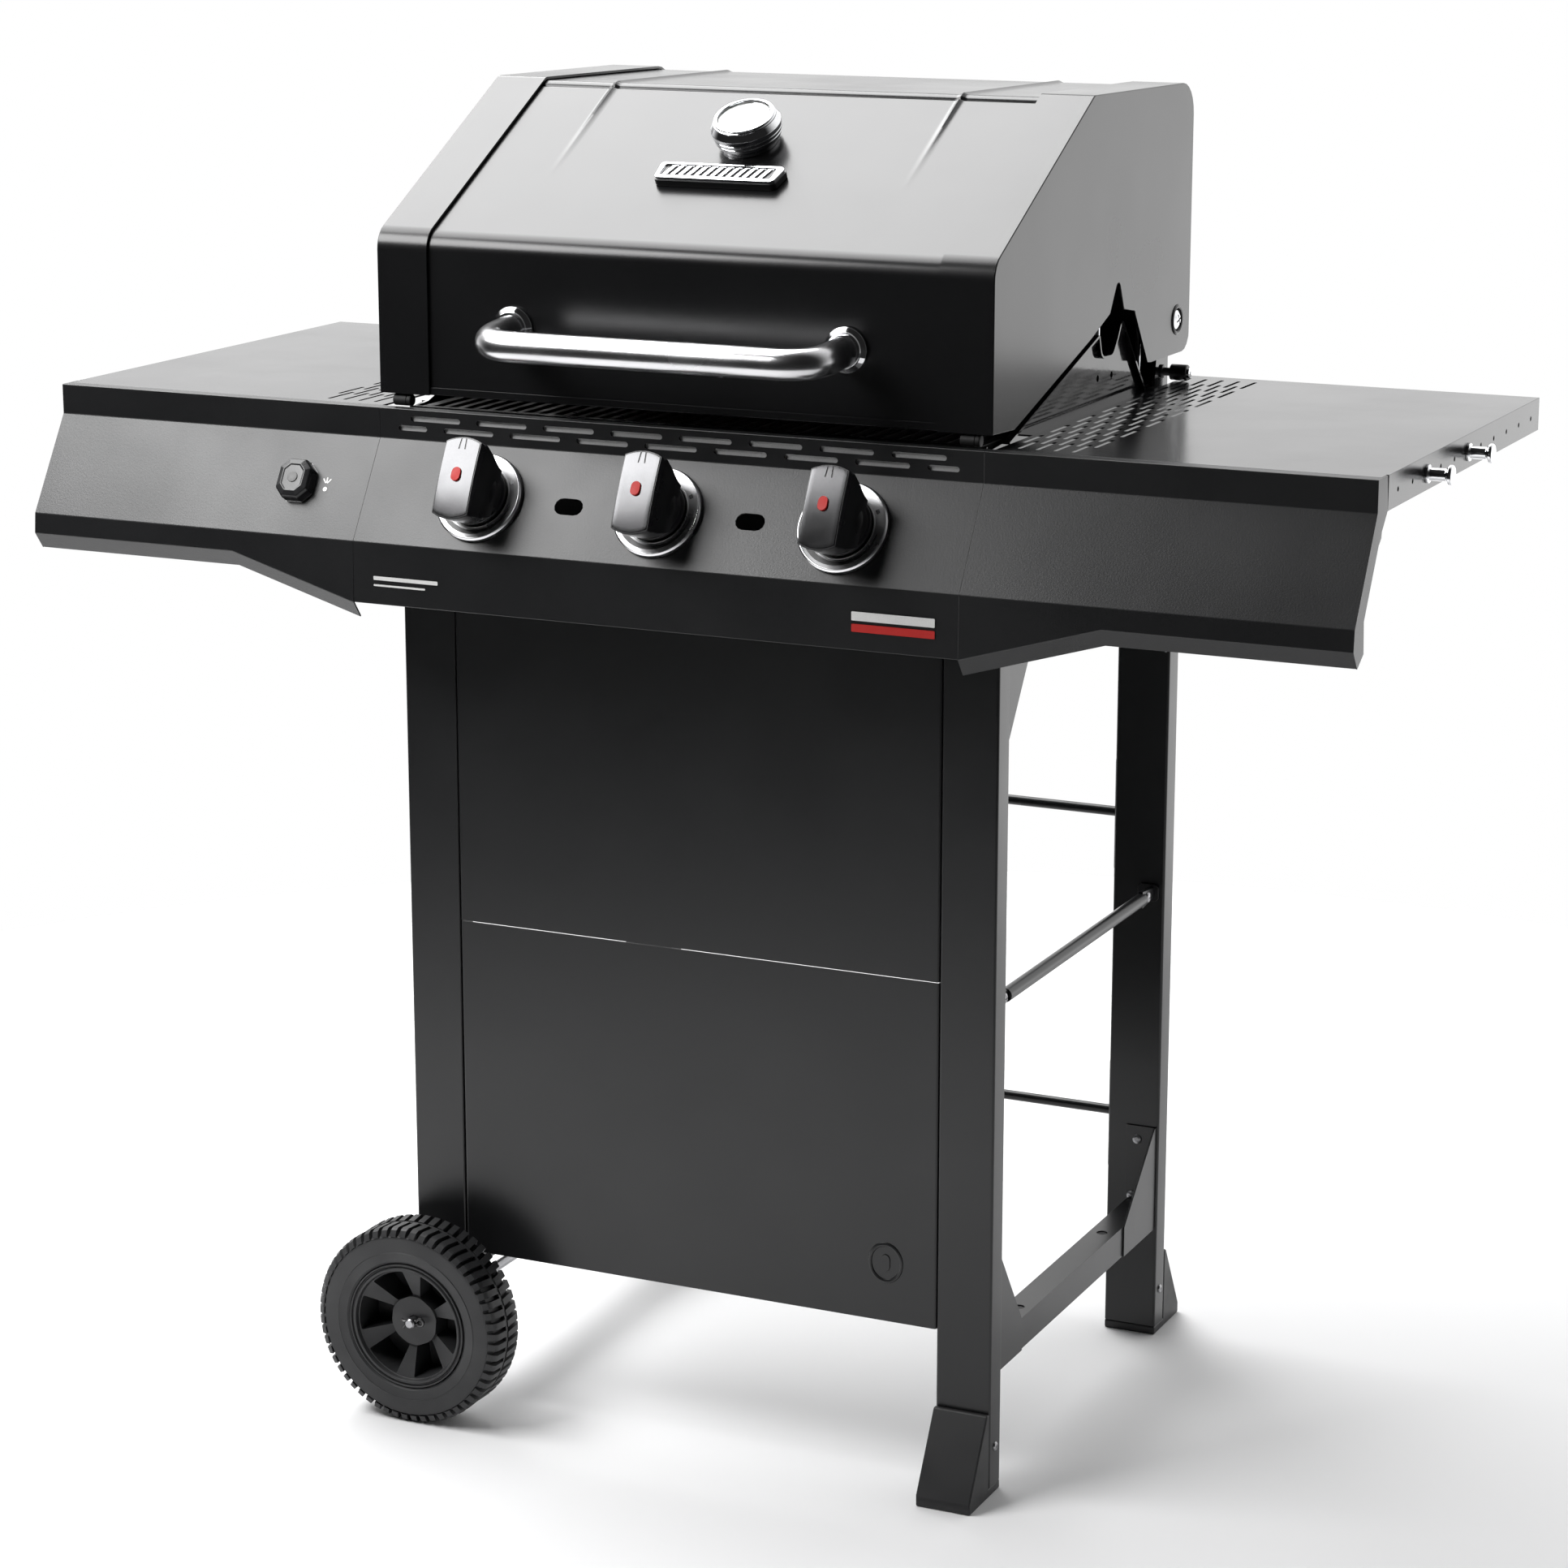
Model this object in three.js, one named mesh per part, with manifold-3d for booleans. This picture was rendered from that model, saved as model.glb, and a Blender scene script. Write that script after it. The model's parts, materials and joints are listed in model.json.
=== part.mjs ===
// Three-burner gas barbecue grill on a two-wheeled cart.
// Millimetres, +Z up, +X to the user's right, +Y to the back.

import * as THREE from 'three';
import { mergeVertices } from 'three/addons/utils/BufferGeometryUtils.js';
import Module from 'manifold-3d';

const wasm = await Module();
wasm.setup();

// ---------------------------------------------------------------- driving dimensions

const gap = 0.3;                 // between pieces that touch
const sides = [-1, 1];           // left, right

const cart = {
  legInner: 224.5, legOuter: 273.7, legDepth: 24, wall: 1.5,
  front: 34.2, rear: 462, top: 745, axleEnd: 66,
};
const foot = { height: 75, reach: 42, sole: 8, lip: 5 };
const frontPanel = { bottom: 142, seam: 443.6, return: 18 };
const rail = { inner: 246, outer: 270, lower: 104, height: 28, upper: 717 };
const gusset = { thick: 1.5, frontRun: 52, rearRun: 80, rise: 98 };
const railHoles = { radius: 5, fromFront: 78, fromRear: 101 };
const tankBar = { x: 262, z: 424.5, radius: 6 };
const rearBrace = { radius: 4.5, heights: [207.5, 491.5], plateHeight: 106, plateDepth: 20 };
const wheel = {
  x: -249, radius: 89.5, width: 48, offset: 44.2, tyreInner: 57.3, rimInner: 51,
  bossRadius: 23, boss: [14, 58], web: [16, 40], webRim: 3, boreRadius: 5,
  pockets: 6, pocketAngle: 39, firstPocket: 115, pocketDepth: 20,
  axleRadius: 4.5, axleReach: 17,
};

const face = { stripTop: 891, crease: 865.7, drop: 80, run: 48.3, foot: 734.3, footRun: 49.5 };
const panel = { half: 272, sheet: 1.5, topReturn: 12, bottomReturn: 22 };
const fascia = { end: 590, knee: 390, lowEdge: 768.5, lipRun: 10.5, lipDrop: 14.5, endDepth: 23 };
const shelf = { inner: 276.6, front: 12.6, rear: 463, top: 891, skirt: 27.6, sheet: 1.5 };
const hook = { rows: [128.3, 244], z: 876.5, post: 5.2, head: 8.2, length: 22 };

const knob = {
  spacing: 163.5, down: 47, skirtRadius: 29, skirtHeight: 16, grip: 34, gripLength: 68,
  height: 49, clearance: 6, travel: 4,
};
const bezel = { outer: 38.5, inner: 31, height: 6, foot: 2.5 };
const stem = { radius: 4, hole: 7, inside: 22, outside: 40 };
const viewHole = { offset: 81.75, down: 47.8, length: 26, height: 14.4 };
const ignition = { x: -338.5, down: 45.5, width: 31, height: 35, proud: 12, inside: 7, corner: 8 };

const firebox = {
  half: 261.5, front: 31, rear: 441, frontTop: 889, rearTop: 957, knee: 785, bottom: 752.8,
  sheet: 2, endThick: 2.5, flange: 4, ledge: 888,
};
const burner = { radius: 11, wall: 1.5, z: 812, front: 19, rear: 422 };
const manifold = { y: 4, z: 788, radius: 8.5, half: 205 };
const emitter = { low: 858, high: 874.1, sheet: 1.5, waves: 12, half: 256 };
const grate = { half: 254, front: 34.5, rear: 437.5, low: 876, high: 888, bar: 6, bars: 17, frame: 9 };
const rack = { half: 258, front: 262, rear: 392, z: 1010, radius: 2.2, rods: 8 };
const tray = { pan: 215, lip: 258, front: 64, rear: 432, low: 722, wall: 1.5, pull: 12 };

const lid = {
  half: 276, band: 47, step: 3, skin: 1.5, bandSheet: 2, side: 2.5, tuck: 8,
  front: 7.8, bottom: 902.4, bend: 1034.3, slopeEnd: [219.7, 1150.5], rear: 461.5, top: 1146.2,
  rearBottom: 914.5, exhaust: 960, bendRadius: 22, creaseRadius: 10, rearRadius: 28, heel: 18,
};
const hinge = { y: 429, z: 944, pin: 4, head: 8.5, bushHole: 13.4 };
const stop = { y: 426, z: 898.6, radius: 7, end: 291 };
const handle = { half: 149.5, radius: 12.7, bar: -50, z: 956, base: 962, flange: 18.5, bend: 34 };
const gauge = { up: 159, radius: 30, neck: 24, height: 27, glass: 23, dialDepth: 8, needle: 16, rest: 225 };

// ---------------------------------------------------------------- materials

function paint(name, color, roughness, metalness) {
  const finish = new THREE.MeshStandardMaterial({ color, roughness, metalness });
  finish.name = name;
  return finish;
}

const satinBlack = paint('satin_black', 0x1c1d1f, 0.45, 0.2);
const wrinkleBlack = paint('wrinkle_black', 0x232427, 0.55, 0.2);
const porcelain = paint('porcelain_black', 0x141517, 0.2, 0.1);
const chrome = paint('chrome', 0xd9dbde, 0.12, 1);
const brushedSteel = paint('brushed_steel', 0xb9bcc0, 0.3, 1);
const bareSteel = paint('bare_steel', 0x8d8f93, 0.4, 1);
const castIron = paint('cast_iron', 0x1a1a1a, 0.6, 0.4);
const brass = paint('brass', 0xb08d4a, 0.35, 1);
const plastic = paint('black_plastic', 0x121314, 0.4, 0);
const tyrePlastic = paint('tyre_black', 0x1d1e20, 0.75, 0);
const needleRed = paint('needle_red', 0xb01c1c, 0.5, 0);

// ---------------------------------------------------------------- shape helpers

function toSolid(geometry) {
  const bare = geometry.clone();
  bare.deleteAttribute('normal');
  bare.deleteAttribute('uv');
  const merged = mergeVertices(bare, 1e-4);
  return new wasm.Manifold(new wasm.Mesh({
    numProp: 3,
    vertProperties: new Float32Array(merged.attributes.position.array),
    triVerts: new Uint32Array(merged.index.array),
  }));
}

function toGeometry(solid) {
  const mesh = solid.getMesh();
  const geometry = new THREE.BufferGeometry();
  geometry.setAttribute('position', new THREE.BufferAttribute(new Float32Array(mesh.vertProperties), 3));
  geometry.setIndex(new THREE.BufferAttribute(new Uint32Array(mesh.triVerts), 1));
  geometry.computeVertexNormals();
  return geometry;
}

function join(first, ...others) {
  return toGeometry(others.reduce((whole, piece) => whole.add(toSolid(piece)), toSolid(first)));
}

function cut(first, ...tools) {
  return toGeometry(tools.reduce((whole, tool) => whole.subtract(toSolid(tool)), toSolid(first)));
}

function box(x0, x1, y0, y1, z0, z1) {
  const geometry = new THREE.BoxGeometry(Math.abs(x1 - x0), Math.abs(y1 - y0), Math.abs(z1 - z0));
  return geometry.translate((x0 + x1) / 2, (y0 + y1) / 2, (z0 + z1) / 2);
}

// A round bar from one point to another.
function rod(from, to, radius, segments = 16) {
  const a = new THREE.Vector3(...from);
  const b = new THREE.Vector3(...to);
  const along = b.clone().sub(a);
  const geometry = new THREE.CylinderGeometry(radius, radius, along.length(), segments);
  const turn = new THREE.Quaternion().setFromUnitVectors(new THREE.Vector3(0, 1, 0), along.normalize());
  return geometry.applyQuaternion(turn).translate(...a.add(b).multiplyScalar(0.5).toArray());
}

// A profile of [radius, height] turned about the Z axis.
function turned(profile, segments = 32) {
  const points = profile.map(([radius, height]) => new THREE.Vector2(radius, height));
  return new THREE.LatheGeometry(points, segments).rotateX(Math.PI / 2);
}

function outline(points) {
  return new THREE.Shape(points.map(([u, v]) => new THREE.Vector2(u, v)));
}

// An outline in (y, z) carried along X from x0 to x1.
function alongX(points, x0, x1) {
  const depth = Math.abs(x1 - x0);
  const geometry = new THREE.ExtrudeGeometry(outline(points), { depth, bevelEnabled: false });
  const swap = new THREE.Matrix4().set(0, 0, 1, Math.min(x0, x1), 1, 0, 0, 0, 0, 1, 0, 0, 0, 0, 0, 1);
  return geometry.applyMatrix4(swap);
}

// An outline in (x, y) carried up from z0 to z1.
function alongZ(points, z0, z1) {
  const geometry = new THREE.ExtrudeGeometry(outline(points), { depth: z1 - z0, bevelEnabled: false });
  return geometry.translate(0, 0, z0);
}

// Replaces each corner [u, v, radius] of an open line by an arc of that radius.
function rounded(corners, steps = 5) {
  const points = [];
  corners.forEach(([u, v, radius], index) => {
    if (!radius) {
      points.push([u, v]);
      return;
    }
    const corner = new THREE.Vector2(u, v);
    const before = new THREE.Vector2(...corners[index - 1]).sub(corner).normalize();
    const after = new THREE.Vector2(...corners[index + 1]).sub(corner).normalize();
    const half = Math.acos(before.dot(after)) / 2;
    const reach = radius / Math.tan(half);
    const middle = before.clone().add(after).normalize().multiplyScalar(radius / Math.sin(half)).add(corner);
    const start = before.clone().multiplyScalar(reach).add(corner).sub(middle);
    const end = after.clone().multiplyScalar(reach).add(corner).sub(middle);
    const sweep = Math.atan2(start.cross(end), start.dot(end));
    for (let step = 0; step <= steps; step += 1) {
      const spoke = start.clone().rotateAround(new THREE.Vector2(), (sweep * step) / steps).add(middle);
      points.push([spoke.x, spoke.y]);
    }
  });
  return points;
}

// The line moved sideways by a distance, to the right of its direction of travel.
function beside(line, distance) {
  return line.map(([u, v], index) => {
    const here = new THREE.Vector2(u, v);
    const previous = new THREE.Vector2(...line[Math.max(index - 1, 0)]);
    const next = new THREE.Vector2(...line[Math.min(index + 1, line.length - 1)]);
    const into = (index ? here.clone().sub(previous) : next.clone().sub(here)).normalize();
    const out = (index < line.length - 1 ? next.clone().sub(here) : into.clone()).normalize();
    const normal = new THREE.Vector2(into.y + out.y, -into.x - out.x).normalize();
    const stretch = 1 / Math.max(normal.dot(new THREE.Vector2(into.y, -into.x)), 0.3);
    return [u + normal.x * distance * stretch, v + normal.y * distance * stretch];
  });
}

// The closed outline of sheet metal that is bent along a line.
function bentSheet(line, thickness) {
  return [...line, ...beside(line, thickness).reverse()];
}

// Equal outlines in (y, z) at several x stations, joined into one solid.
function lofted(stations) {
  const count = stations[0].points.length;
  const vertices = stations.flatMap(({ x, points }) => points.map(([y, z]) => [x, y, z]));
  const cap = THREE.ShapeUtils.triangulateShape(outline(stations[0].points).getPoints(), []);
  const last = (stations.length - 1) * count;
  const faces = cap.map(([a, b, c]) => [a, c, b]);
  cap.forEach(([a, b, c]) => faces.push([a + last, b + last, c + last]));
  for (let row = 0; row < last; row += count) {
    for (let i = 0; i < count; i += 1) {
      const j = (i + 1) % count;
      faces.push([row + i, row + j, row + j + count], [row + i, row + j + count, row + i + count]);
    }
  }
  const geometry = new THREE.BufferGeometry();
  geometry.setAttribute('position', new THREE.Float32BufferAttribute(vertices.flat(), 3));
  geometry.setIndex(faces.flat());
  return geometry;
}

function obround(length, height, steps = 6) {
  const radius = height / 2;
  const points = [];
  sides.forEach((side) => {
    for (let step = 0; step <= steps; step += 1) {
      const angle = (Math.PI * step) / steps - Math.PI / 2;
      const x = side * (length / 2 - radius + radius * Math.cos(angle));
      points.push([x, side * radius * Math.sin(angle)]);
    }
  });
  return points;
}

function circle(radius, count) {
  const points = Array.from({ length: count }, (_, index) => {
    const angle = (Math.PI * 2 * index) / count;
    return [radius * Math.cos(angle), radius * Math.sin(angle)];
  });
  return outline(points);
}

// A rectangle about the origin with its corners cut off.
function clipped(width, height, corner) {
  const w = width / 2;
  const h = height / 2;
  return [
    [-w, -h + corner], [-w + corner, -h], [w - corner, -h], [w, -h + corner],
    [w, h - corner], [w - corner, h], [-w + corner, h], [-w, h - corner],
  ];
}

// Places a geometry drawn on the slanted control face: x along it, y up it, z out of it.
function onFace(geometry) {
  return geometry.rotateX(Math.atan2(face.drop, face.run)).translate(0, 0, face.crease);
}

// Places a geometry drawn on the sloping lid skin in the same way, from its front bend.
function onLidSlope(geometry) {
  const rise = lid.slopeEnd[1] - lid.bend;
  const run = lid.slopeEnd[0] - lid.front;
  const slope = Math.atan2(rise, run);
  geometry.translate(0, 0, -lid.step);
  return geometry.rotateX(slope).translate(0, lid.front, lid.bend);
}

function sideName(side) {
  return side < 0 ? 'left' : 'right';
}

const grill = new THREE.Group();

function add(name, geometry, finish) {
  const mesh = new THREE.Mesh(geometry, finish);
  mesh.name = name;
  grill.add(mesh);
}

// ---------------------------------------------------------------- cart

function legTube(side, y0, z0) {
  const x0 = side * cart.legInner;
  const x1 = side * cart.legOuter;
  const inset = side * cart.wall;
  const outside = box(x0, x1, y0, y0 + cart.legDepth, z0, cart.top);
  const y1 = y0 + cart.legDepth - cart.wall;
  return cut(outside, box(x0 + inset, x1 - inset, y0 + cart.wall, y1, z0 - 1, cart.top + 1));
}

function legs() {
  const rearStart = cart.rear - cart.legDepth;
  const bore = rod([wheel.x, 0, wheel.radius], [wheel.x, cart.rear + 10, wheel.radius], wheel.boreRadius, 12);
  add('leg_front_left', cut(legTube(-1, cart.front, cart.axleEnd), bore), satinBlack);
  add('leg_rear_left', cut(legTube(-1, rearStart, cart.axleEnd), bore), satinBlack);
  add('leg_front_right', legTube(1, cart.front, foot.sole + gap), satinBlack);
  add('leg_rear_right', legTube(1, rearStart, foot.sole + gap), satinBlack);
}

// A wedge that stands against the leg's face and passes under its end.
function wedgeFoot(faceY, farY, outward) {
  const toe = faceY + outward * foot.reach;
  const near = faceY + outward * gap;
  return alongX([
    [toe, 0], [farY, 0], [farY, foot.sole], [near, foot.sole],
    [near, foot.height], [near + outward * foot.lip, foot.height], [toe, foot.sole + 2],
  ], cart.legInner, cart.legOuter);
}

function feet() {
  add('foot_front_right', wedgeFoot(cart.front, cart.front + cart.legDepth, -1), plastic);
  add('foot_rear_right', wedgeFoot(cart.rear, cart.rear - cart.legDepth, 1), plastic);
}

function panelSheet(z0, z1) {
  const half = cart.legInner - gap;
  const back = cart.front + frontPanel.return;
  const line = [[-half, back], [-half, cart.front], [half, cart.front], [half, back]];
  return alongZ(bentSheet(line, -cart.wall), z0, z1);
}

function frontPanels() {
  add('front_panel_lower', panelSheet(frontPanel.bottom, frontPanel.seam - gap), satinBlack);
  add('front_panel_upper', panelSheet(frontPanel.seam + gap, cart.top), satinBlack);
}

// Web and screw flange of a triangular bracket between a rail and a leg.
function bracket(side, legY, run, outward, railEdge, legEdge) {
  const x0 = side * rail.outer;
  const x1 = side * (rail.outer + gusset.thick);
  const near = legY + outward * gap;
  const tip = legY + outward * run;
  const low = Math.sign(railEdge - legEdge) * rail.height;
  const web = [[near, railEdge + low], [tip, railEdge + low], [tip, railEdge], [near + outward * 4, legEdge], [near, legEdge]];
  const flange = box(x1, side * (rail.inner - 3), near, near + outward * gusset.thick, railEdge + low, legEdge);
  return [alongX(web, x0 - side * gap, x1), flange];
}

// A channel rail between the legs, open below, with its welded end brackets.
function sideFrame(side, z0, direction) {
  const rearFace = cart.rear - cart.legDepth;
  const frontFace = cart.front + cart.legDepth;
  const railEdge = direction > 0 ? z0 + rail.height : z0;
  const legEdge = railEdge + direction * (gusset.rise - rail.height);
  const tube = box(side * rail.inner, side * rail.outer, frontFace + gap, rearFace - gap, z0, z0 + rail.height);
  const wall = side * cart.wall;
  const inside = box(
    side * rail.inner + wall, side * rail.outer - wall,
    frontFace, rearFace, z0 - 1, z0 + rail.height - cart.wall,
  );
  const middle = (side * (rail.inner + rail.outer)) / 2;
  const holes = [frontFace + railHoles.fromFront, rearFace - railHoles.fromRear].map(
    (y) => rod([middle, y, z0 + rail.height / 2], [middle, y, z0 + rail.height + 5], railHoles.radius, 12),
  );
  const hollow = cut(tube, inside, ...(direction > 0 ? holes : []));
  return join(
    hollow,
    ...bracket(side, frontFace, gusset.frontRun, 1, railEdge, legEdge),
    ...bracket(side, rearFace, gusset.rearRun, -1, railEdge, legEdge),
  );
}

function sideFrames() {
  sides.forEach((side) => {
    add(`lower_side_frame_${sideName(side)}`, sideFrame(side, rail.lower, 1), satinBlack);
    add(`upper_side_frame_${sideName(side)}`, sideFrame(side, rail.upper, -1), satinBlack);
  });
}

function tankBarPiece() {
  const y0 = cart.front + cart.legDepth + gap;
  const y1 = cart.rear - cart.legDepth - gap;
  add('tank_bar', rod([tankBar.x, y0, tankBar.z], [tankBar.x, y1, tankBar.z], tankBar.radius, 12), satinBlack);
}

function rearBracePiece(z) {
  const y = cart.rear - 7;
  const end = cart.legInner - gap;
  const plates = sides.map((side) => box(
    side * end, side * (end - 2), y - rearBrace.plateDepth / 2, y + rearBrace.plateDepth / 2,
    z - rearBrace.plateHeight / 2, z + rearBrace.plateHeight / 2,
  ));
  return join(rod([1 - end, y, z], [end - 1, y, z], rearBrace.radius, 10), ...plates);
}

function rearBraces() {
  add('rear_brace_lower', rearBracePiece(rearBrace.heights[0]), satinBlack);
  add('rear_brace_upper', rearBracePiece(rearBrace.heights[1]), satinBlack);
}

// ---------------------------------------------------------------- wheels

// Ring of the tyre, its outer corners eased, turned about Z and then laid along Y.
function tyreRing() {
  const h = wheel.width / 2;
  const r = wheel.radius;
  const profile = [
    [wheel.tyreInner, -h + 3], [r - 10, -h], [r - 3, -h + 4], [r, -h + 9],
    [r, h - 9], [r - 3, h - 4], [r - 10, h], [wheel.tyreInner, h - 3], [wheel.tyreInner, -h + 3],
  ];
  return turned(profile, 40).rotateX(-Math.PI / 2);
}

// Rim barrel and boss, joined by a thick dished web with pockets between its spokes.
// The boss runs on past the rim towards the leg as a sleeve.
function hubDisc() {
  const h = wheel.width / 2 - 2;
  const outer = wheel.tyreInner - gap;
  const [front, back] = wheel.web.map((depth) => depth - h);
  const [bossFront, bossBack] = wheel.boss.map((depth) => depth - h);
  const profile = [
    [wheel.boreRadius, bossFront], [wheel.bossRadius, bossFront], [wheel.bossRadius, front],
    [wheel.rimInner, wheel.webRim - h], [wheel.rimInner, -h], [outer, -h], [outer, h], [wheel.rimInner, h],
    [wheel.rimInner, back], [wheel.bossRadius, back], [wheel.bossRadius, bossBack],
    [wheel.boreRadius, bossBack], [wheel.boreRadius, bossFront],
  ];
  const pockets = Array.from({ length: wheel.pockets }, (_, index) => {
    const middle = -wheel.firstPocket - (360 / wheel.pockets) * index;
    const wide = [-0.5, -0.25, 0, 0.25, 0.5].map((part) => {
      const angle = THREE.MathUtils.degToRad(middle + part * wheel.pocketAngle);
      return [(wheel.rimInner - 1) * Math.cos(angle), (wheel.rimInner - 1) * Math.sin(angle)];
    });
    const narrow = [0.5, -0.5].map((part) => {
      const angle = THREE.MathUtils.degToRad(middle + part * wheel.pocketAngle * 1.15);
      return [(wheel.bossRadius + 1) * Math.cos(angle), (wheel.bossRadius + 1) * Math.sin(angle)];
    });
    return alongZ([...wide, ...narrow], -h - 1, front + wheel.pocketDepth);
  });
  return cut(turned(profile, 36), ...pockets).rotateX(-Math.PI / 2);
}

function wheels() {
  const front = cart.front - wheel.offset;
  const rear = cart.rear + wheel.offset;
  [['front', front, 0], ['rear', rear, Math.PI]].forEach(([name, y, turn]) => {
    add(`tyre_${name}`, tyreRing().translate(wheel.x, y, wheel.radius), tyrePlastic);
    add(`wheel_hub_${name}`, hubDisc().rotateZ(turn).translate(wheel.x, y, wheel.radius), plastic);
  });
  const ends = [front - wheel.axleReach, rear + wheel.axleReach];
  const axle = rod([wheel.x, ends[0], wheel.radius], [wheel.x, ends[1], wheel.radius], wheel.axleRadius, 12);
  add('axle', axle, bareSteel);
}

// ---------------------------------------------------------------- firebox and what it holds

function fireboxTub() {
  const f = firebox;
  const line = [
    [f.front, f.frontTop], [f.front, f.knee], [200, f.bottom],
    [270, f.bottom], [f.rear, f.knee], [f.rear, f.rearTop],
  ];
  const shell = alongX(bentSheet(line, -f.sheet), -f.half, f.half);
  const drain = rod([0, 235, f.bottom - 5], [0, 235, f.bottom + 10], 14, 16);
  const ports = [-1, 0, 1].map((index) => {
    const x = index * knob.spacing;
    return rod([x, f.front - 5, burner.z], [x, f.front + 8, burner.z], burner.radius + 1.5, 16);
  });
  return cut(shell, drain, ...ports);
}

// End wall: a sloping shoulder, a notch for a spit rod, a peak, and the ear that carries the hinge.
function endWallLine() {
  return rounded([
    [firebox.front - 3, 886], [63, 888.6], [261.6, 950.5, 2], [268, 931, 9], [293, 930, 9],
    [304, 942.6, 4], [314.5, 959, 5], [377, firebox.ledge], [408, firebox.ledge],
  ], 3);
}

function hingeEar() {
  const points = [];
  for (let step = 0; step <= 8; step += 1) {
    const angle = Math.PI - (Math.PI * step) / 8;
    points.push([hinge.y + 12 * Math.cos(angle), hinge.z + 12 * Math.sin(angle)]);
  }
  return [...points, [hinge.y + 12, firebox.ledge], [hinge.y + 12, 745.3]];
}

function fireboxEnd(side) {
  const x0 = side * (firebox.half + gap);
  const x1 = x0 + side * firebox.endThick;
  const shoulder = endWallLine();
  const wall = alongX([[firebox.front - 3, 745.3], ...shoulder, ...hingeEar()], x0, x1);
  const edge = alongX(bentSheet(shoulder.slice(1, -1), 2), x0, x1 + side * firebox.flange);
  const ledge = box(x0, side * (shelf.inner - gap), 100, 385, firebox.ledge, firebox.ledge + 1.5);
  const bore = rod([x0 - side * 5, hinge.y, hinge.z], [x1 + side * 9, hinge.y, hinge.z], hinge.pin + gap, 12);
  const holes = [[268, 912.6], [301, 911.7]].map(
    ([y, z]) => rod([x0 - side * 5, y, z], [x1 + side * 5, y, z], 3, 10),
  );
  return cut(join(wall, edge, ledge), bore, ...holes);
}

// Wavy plate over the burners.
function emitterPlate() {
  const y0 = grate.front + 1;
  const pitch = (grate.rear - grate.front - 2) / (emitter.waves * 2);
  const line = [];
  for (let step = 0; step <= emitter.waves * 2; step += 1) {
    const z = step % 2 ? emitter.high : emitter.low;
    line.push([y0 + pitch * (step - 0.28), z], [y0 + pitch * (step + 0.28), z]);
  }
  line[0][0] = y0;
  line[line.length - 1][0] = grate.rear - 1;
  return alongX(bentSheet(line, emitter.sheet), -emitter.half, emitter.half);
}

function cookingGrate(side) {
  const x0 = side * (side < 0 ? grate.half : 0.5);
  const x1 = side * (side < 0 ? 0.5 : grate.half);
  const low = Math.min(x0, x1);
  const high = Math.max(x0, x1);
  const slab = box(low, high, grate.front, grate.rear, grate.low, grate.high);
  const clear = high - low - 2 * grate.frame;
  const slot = (clear - (grate.bars - 1) * grate.bar) / grate.bars;
  const halfDepth = (grate.front + grate.rear) / 2;
  const slots = [];
  for (let index = 0; index < grate.bars; index += 1) {
    const start = low + grate.frame + index * (slot + grate.bar);
    const stretches = [[grate.front + grate.frame, halfDepth - 4], [halfDepth + 4, grate.rear - grate.frame]];
    stretches.forEach(([y0, y1]) => slots.push(box(start, start + slot, y0, y1, grate.low - 1, grate.high + 1)));
  }
  return cut(slab, ...slots);
}

function burnerTube(index) {
  const length = burner.rear - burner.front;
  const inner = burner.radius - burner.wall;
  const profile = [
    [0, length], [0, length - 3], [inner, length - 3], [inner, 0], [burner.radius, 0],
    [burner.radius, length], [0, length],
  ];
  return turned(profile, 16).rotateX(-Math.PI / 2).translate(index * knob.spacing, burner.front, burner.z);
}

// Gas tube with one valve body for each burner, each with its jet towards the burner.
function gasManifold() {
  const { y, z, radius, half } = manifold;
  const tube = rod([-half, y, z], [half, y, z], radius, 12);
  const inlet = rod([half - 2, y, z], [half + 22, y, z], radius + 4, 6);
  const valves = [-1, 0, 1].flatMap((index) => {
    const x = index * knob.spacing;
    const body = box(x - 12, x + 12, y - 6.5, y + 10, z, burner.z + 9);
    return [body, rod([x, y + 8, burner.z], [x, burner.front + 8, burner.z], 5, 10)];
  });
  return join(tube, inlet, ...valves);
}

function warmingRack() {
  const { half, front, rear, z, radius } = rack;
  const rods = [];
  for (let index = 0; index < rack.rods; index += 1) {
    const y = front + ((rear - front) * index) / (rack.rods - 1);
    rods.push(rod([-half, y, z], [half, y, z], radius, 6));
  }
  sides.forEach((side) => {
    const x = side * half;
    const top = z + radius * 0.8;
    rods.push(rod([x, front - 5, top], [x, rear + 5, top], radius, 6));
    rods.push(rod([x, front + 20, 880], [x, front + 20, z], radius, 6));
    rods.push(rod([x, rear - 10, 880], [x, rear - 10, z], radius, 6));
  });
  return join(...rods);
}

// Open pan that hangs by its side lips on the upper side rails.
function greaseTray() {
  const { pan, lip, front, rear, low, wall } = tray;
  const brim = cart.top + 0.6;
  const line = [[-lip, brim], [-pan, brim], [-pan, low], [pan, low], [pan, brim], [lip, brim]];
  const body = alongZ(bentSheet(line, -wall), 0, rear - front);
  body.rotateX(Math.PI / 2).translate(0, rear, 0);
  const frontWall = box(-pan, pan, front, front + wall, low, brim);
  const rearWall = box(-pan, pan, rear - wall, rear, low, brim);
  const pull = box(-70, 70, rear - wall, rear + tray.pull, brim - wall, brim);
  return join(body, frontWall, rearWall, pull);
}

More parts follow.
